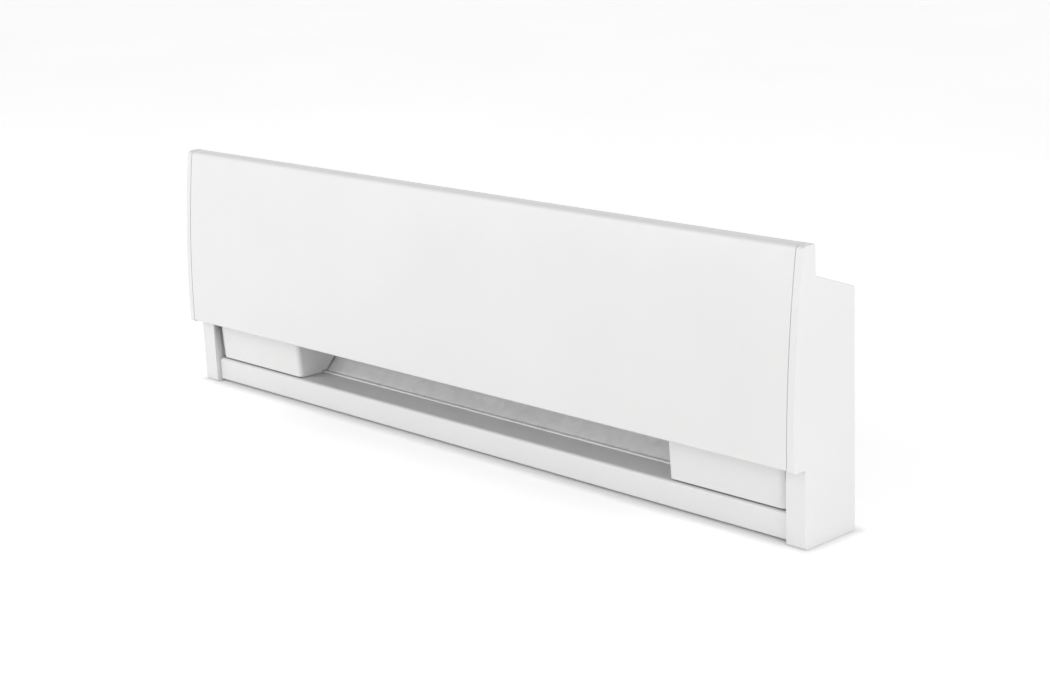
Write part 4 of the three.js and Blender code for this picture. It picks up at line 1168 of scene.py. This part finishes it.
def fin_pack():
    """One fin with a drawn collar and pressed ribs, repeated along the sheath."""
    node = "fin_pack"
    (first, y0, z0), (last, y1, z1) = low(node) + Vector((2, 0, 0)), high(node) - Vector((2, 0, 0))
    outline = rounded([(y0, z0, 2.5), (y1, z0, 2.5), (y1, z1, 2.5), (y0, z1, 2.5)], closed=True, steps=4)
    fin = prism(outline, -FIN_SHEET / 2, FIN_SHEET / 2)
    collar = turned(
        [(4.3, -0.2), (7.2, -0.2), (6.4, 0.3), (5.4, 1.4), (5.0, 3.0), (5.0, 7.6), (4.3, 7.6)],
        on_axis(0), "x", 32,
    )
    bore = drill(4.3, -3, 12, on_axis(0), "x", 32)
    ribs, hollows = [], []
    for y in (y0 + 7, y1 - 7):
        ribs.append(capsule(20, 2.2, 0.7, (FIN_SHEET / 2 - 0.05, y, ELEMENT_Z), upright=True))
        hollows.append(capsule(20, 1.8, 0.6, (-FIN_SHEET / 2 - 0.01, y, ELEMENT_Z), upright=True))
    fin = cut(fused(fin, collar, *ribs), bore, *hollows)
    count = round((last - first) / FIN_PITCH) + 1
    repeated(fin, [(first + i * FIN_PITCH, 0, 0) for i in range(count)])
    finished(fin, node, bevel=0)


def cold_pin(node):
    reach = (high(node).x - low(node).x) / 2
    finished(rod(1.6, -reach, reach, middle(node), 32, 0.15), node, bevel=0.05)


def pin_insulator(node, side):
    start = (low(node) if side > 0 else high(node)).x
    profile = [
        (1.95, 0), (3.5, 0), (4, 0.5), (4, 1.9), (3.8, 2.3), (3.1, 3.0), (2.9, 3.4), (3.1, 3.9),
        (3.1, 5.8), (2.8, 6.15), (1.95, 6.15),
    ]
    finished(turned(profile, on_axis(start), "x", 48, side), node, bevel=0.12)


def terminal_lug(node, side):
    start = (low(node) if side > 0 else high(node)).x
    length = high(node).x - low(node).x
    profile = [(0, 0), (2.4, 0), (3, 0.3), (3.2, 0.8), (3.2, length - 0.3), (3.0, length), (2.3, length)]
    profile += [(2.1, length - 0.3), (2.1, 3), (0, 3)]
    barrel = turned(profile, on_axis(start), "x", 48, side)
    dents = []
    for reach in (4.6, 9.6):
        ball = [(1.6 * math.sin(a), 1.6 * math.cos(a)) for a in (math.pi * i / 10 for i in range(11))]
        ball[0], ball[-1] = (0, 1.6), (0, -1.6)
        dents.append(turned(ball, (start + side * reach, ELEMENT_Y - 4.0, ELEMENT_Z), "z", 20))
    finished(cut(barrel, *dents), node, bevel=0.1)


def element_bush(node, side):
    lo, hi = partition_span(side, node.split("_")[0])
    lo, hi = lo - 0.3, hi + 0.3
    profile = [
        (4.35, lo - 1.4), (4.75, lo - 1.8), (9.3, lo - 1.8), (9.85, lo - 1.3), (9.85, lo), (7.65, lo),
        (7.65, hi), (9.85, hi), (9.85, hi + 0.8), (8.4, hi + 1.3), (7.2, hi + 3), (4.75, hi + 3),
        (4.35, hi + 2.6),
    ]
    body = turned(profile, on_axis(0), "x", 64, side)
    slots = []
    for i in range(6):
        outline = slot_outline(math.pi / 3 * i + 0.3, (ELEMENT_Y, ELEMENT_Z), 8.7, 11, 0.6)
        slots.append(prism(outline, *beside(side, hi - 0.1, hi + 4)))
    finished(cut(body, *slots), node, bevel=0.12)


def centre_support():
    node = "centre_element_support"
    x0, x1 = low(node).x, high(node).x
    rear, slot, top = REFLECTOR_Y - GAP, 6.5, ELEMENT_Z + 10
    front = ELEMENT_Y - slot - 5
    corners = [(rear, ELEMENT_Z - 44, 2), (rear, top, 2), (ELEMENT_Y + slot, top, 1.5)]
    for i in range(17):
        angle = -math.pi * i / 16
        corners.append((ELEMENT_Y + slot * math.cos(angle), ELEMENT_Z + slot * math.sin(angle)))
    corners += [(ELEMENT_Y - slot, top, 1.5), (front, top, 1.5), (front, ELEMENT_Z - 14, 3)]
    hole = drill(2.5, -3, 3, ((x0 + x1) / 2, rear - 6, ELEMENT_Z - 20), "x", 32)
    finished(cut(prism(rounded(corners, closed=True), x0, x1), hole), node, bevel=0.2)


def capillary_tube():
    tube = "capillary_tube"
    at, start, end = middle(tube), low(tube).x, high(tube).x
    profile = [(0, start), (0.8, start + 0.1), (1.2, start + 0.5), (1.3, start + 1.2)]
    profile += [(1.3, end - 0.3), (1.1, end), (0, end)]
    finished(turned(profile, (0, at.y, at.z), "x", 24), tube, bevel=0)


def capillary_clip(node):
    tube = middle("capillary_tube")
    rear = REFLECTOR_Y - GAP
    shelf = low(node).z + 10
    corners = [(tube.y - 2.6, shelf + 3.5), (tube.y - 2.6, shelf, 1), (rear, shelf, 1), (rear, shelf - 10)]
    strip = sheet(corners, REFLECTOR_SHEET, low(node).x, high(node).x)
    centre = (middle(node).x, rear - REFLECTOR_SHEET, shelf - 6)
    head = turned([(0, 0.2), (1.9, 0.2), (1.8, -0.4), (1.2, -0.8), (0, -0.9)], centre, "y", 24)
    finished(fused(strip, head), node, bevel=0.14)


for i in (1, 2, 3):
    panel_hook(f"panel_hook_{i}")
    capillary_clip(f"capillary_clip_{i}")
for end_name, end_side in ENDS:
    cap_screw(f"{end_name}_cap_screw")
    for kind in ("box", "clamp", "earth"):
        pan_screw(f"{end_name}_{kind}_screw")
    panel_clip(f"{end_name}_panel_clip")
    compartment_box(end_name, end_side)
    wiring_cover(end_name, end_side)
    cable_clamp(f"{end_name}_cable_clamp")
    grommet(f"{end_name}_grommet")
    cold_pin(f"{end_name}_cold_pin")
    pin_insulator(f"{end_name}_pin_insulator", end_side)
    terminal_lug(f"{end_name}_terminal_lug", end_side)
    element_bush(f"{end_name}_element_bush", end_side)
element_tube()
fin_pack()
centre_support()
limit_control()
for i in (1, 2):
    limit_tab(f"limit_tab_{i}")
capillary_tube()
return_lead()
limit_leads()
wire_connector("return_connector", 52, 1)
wire_connector("line_connector", 76, -1)
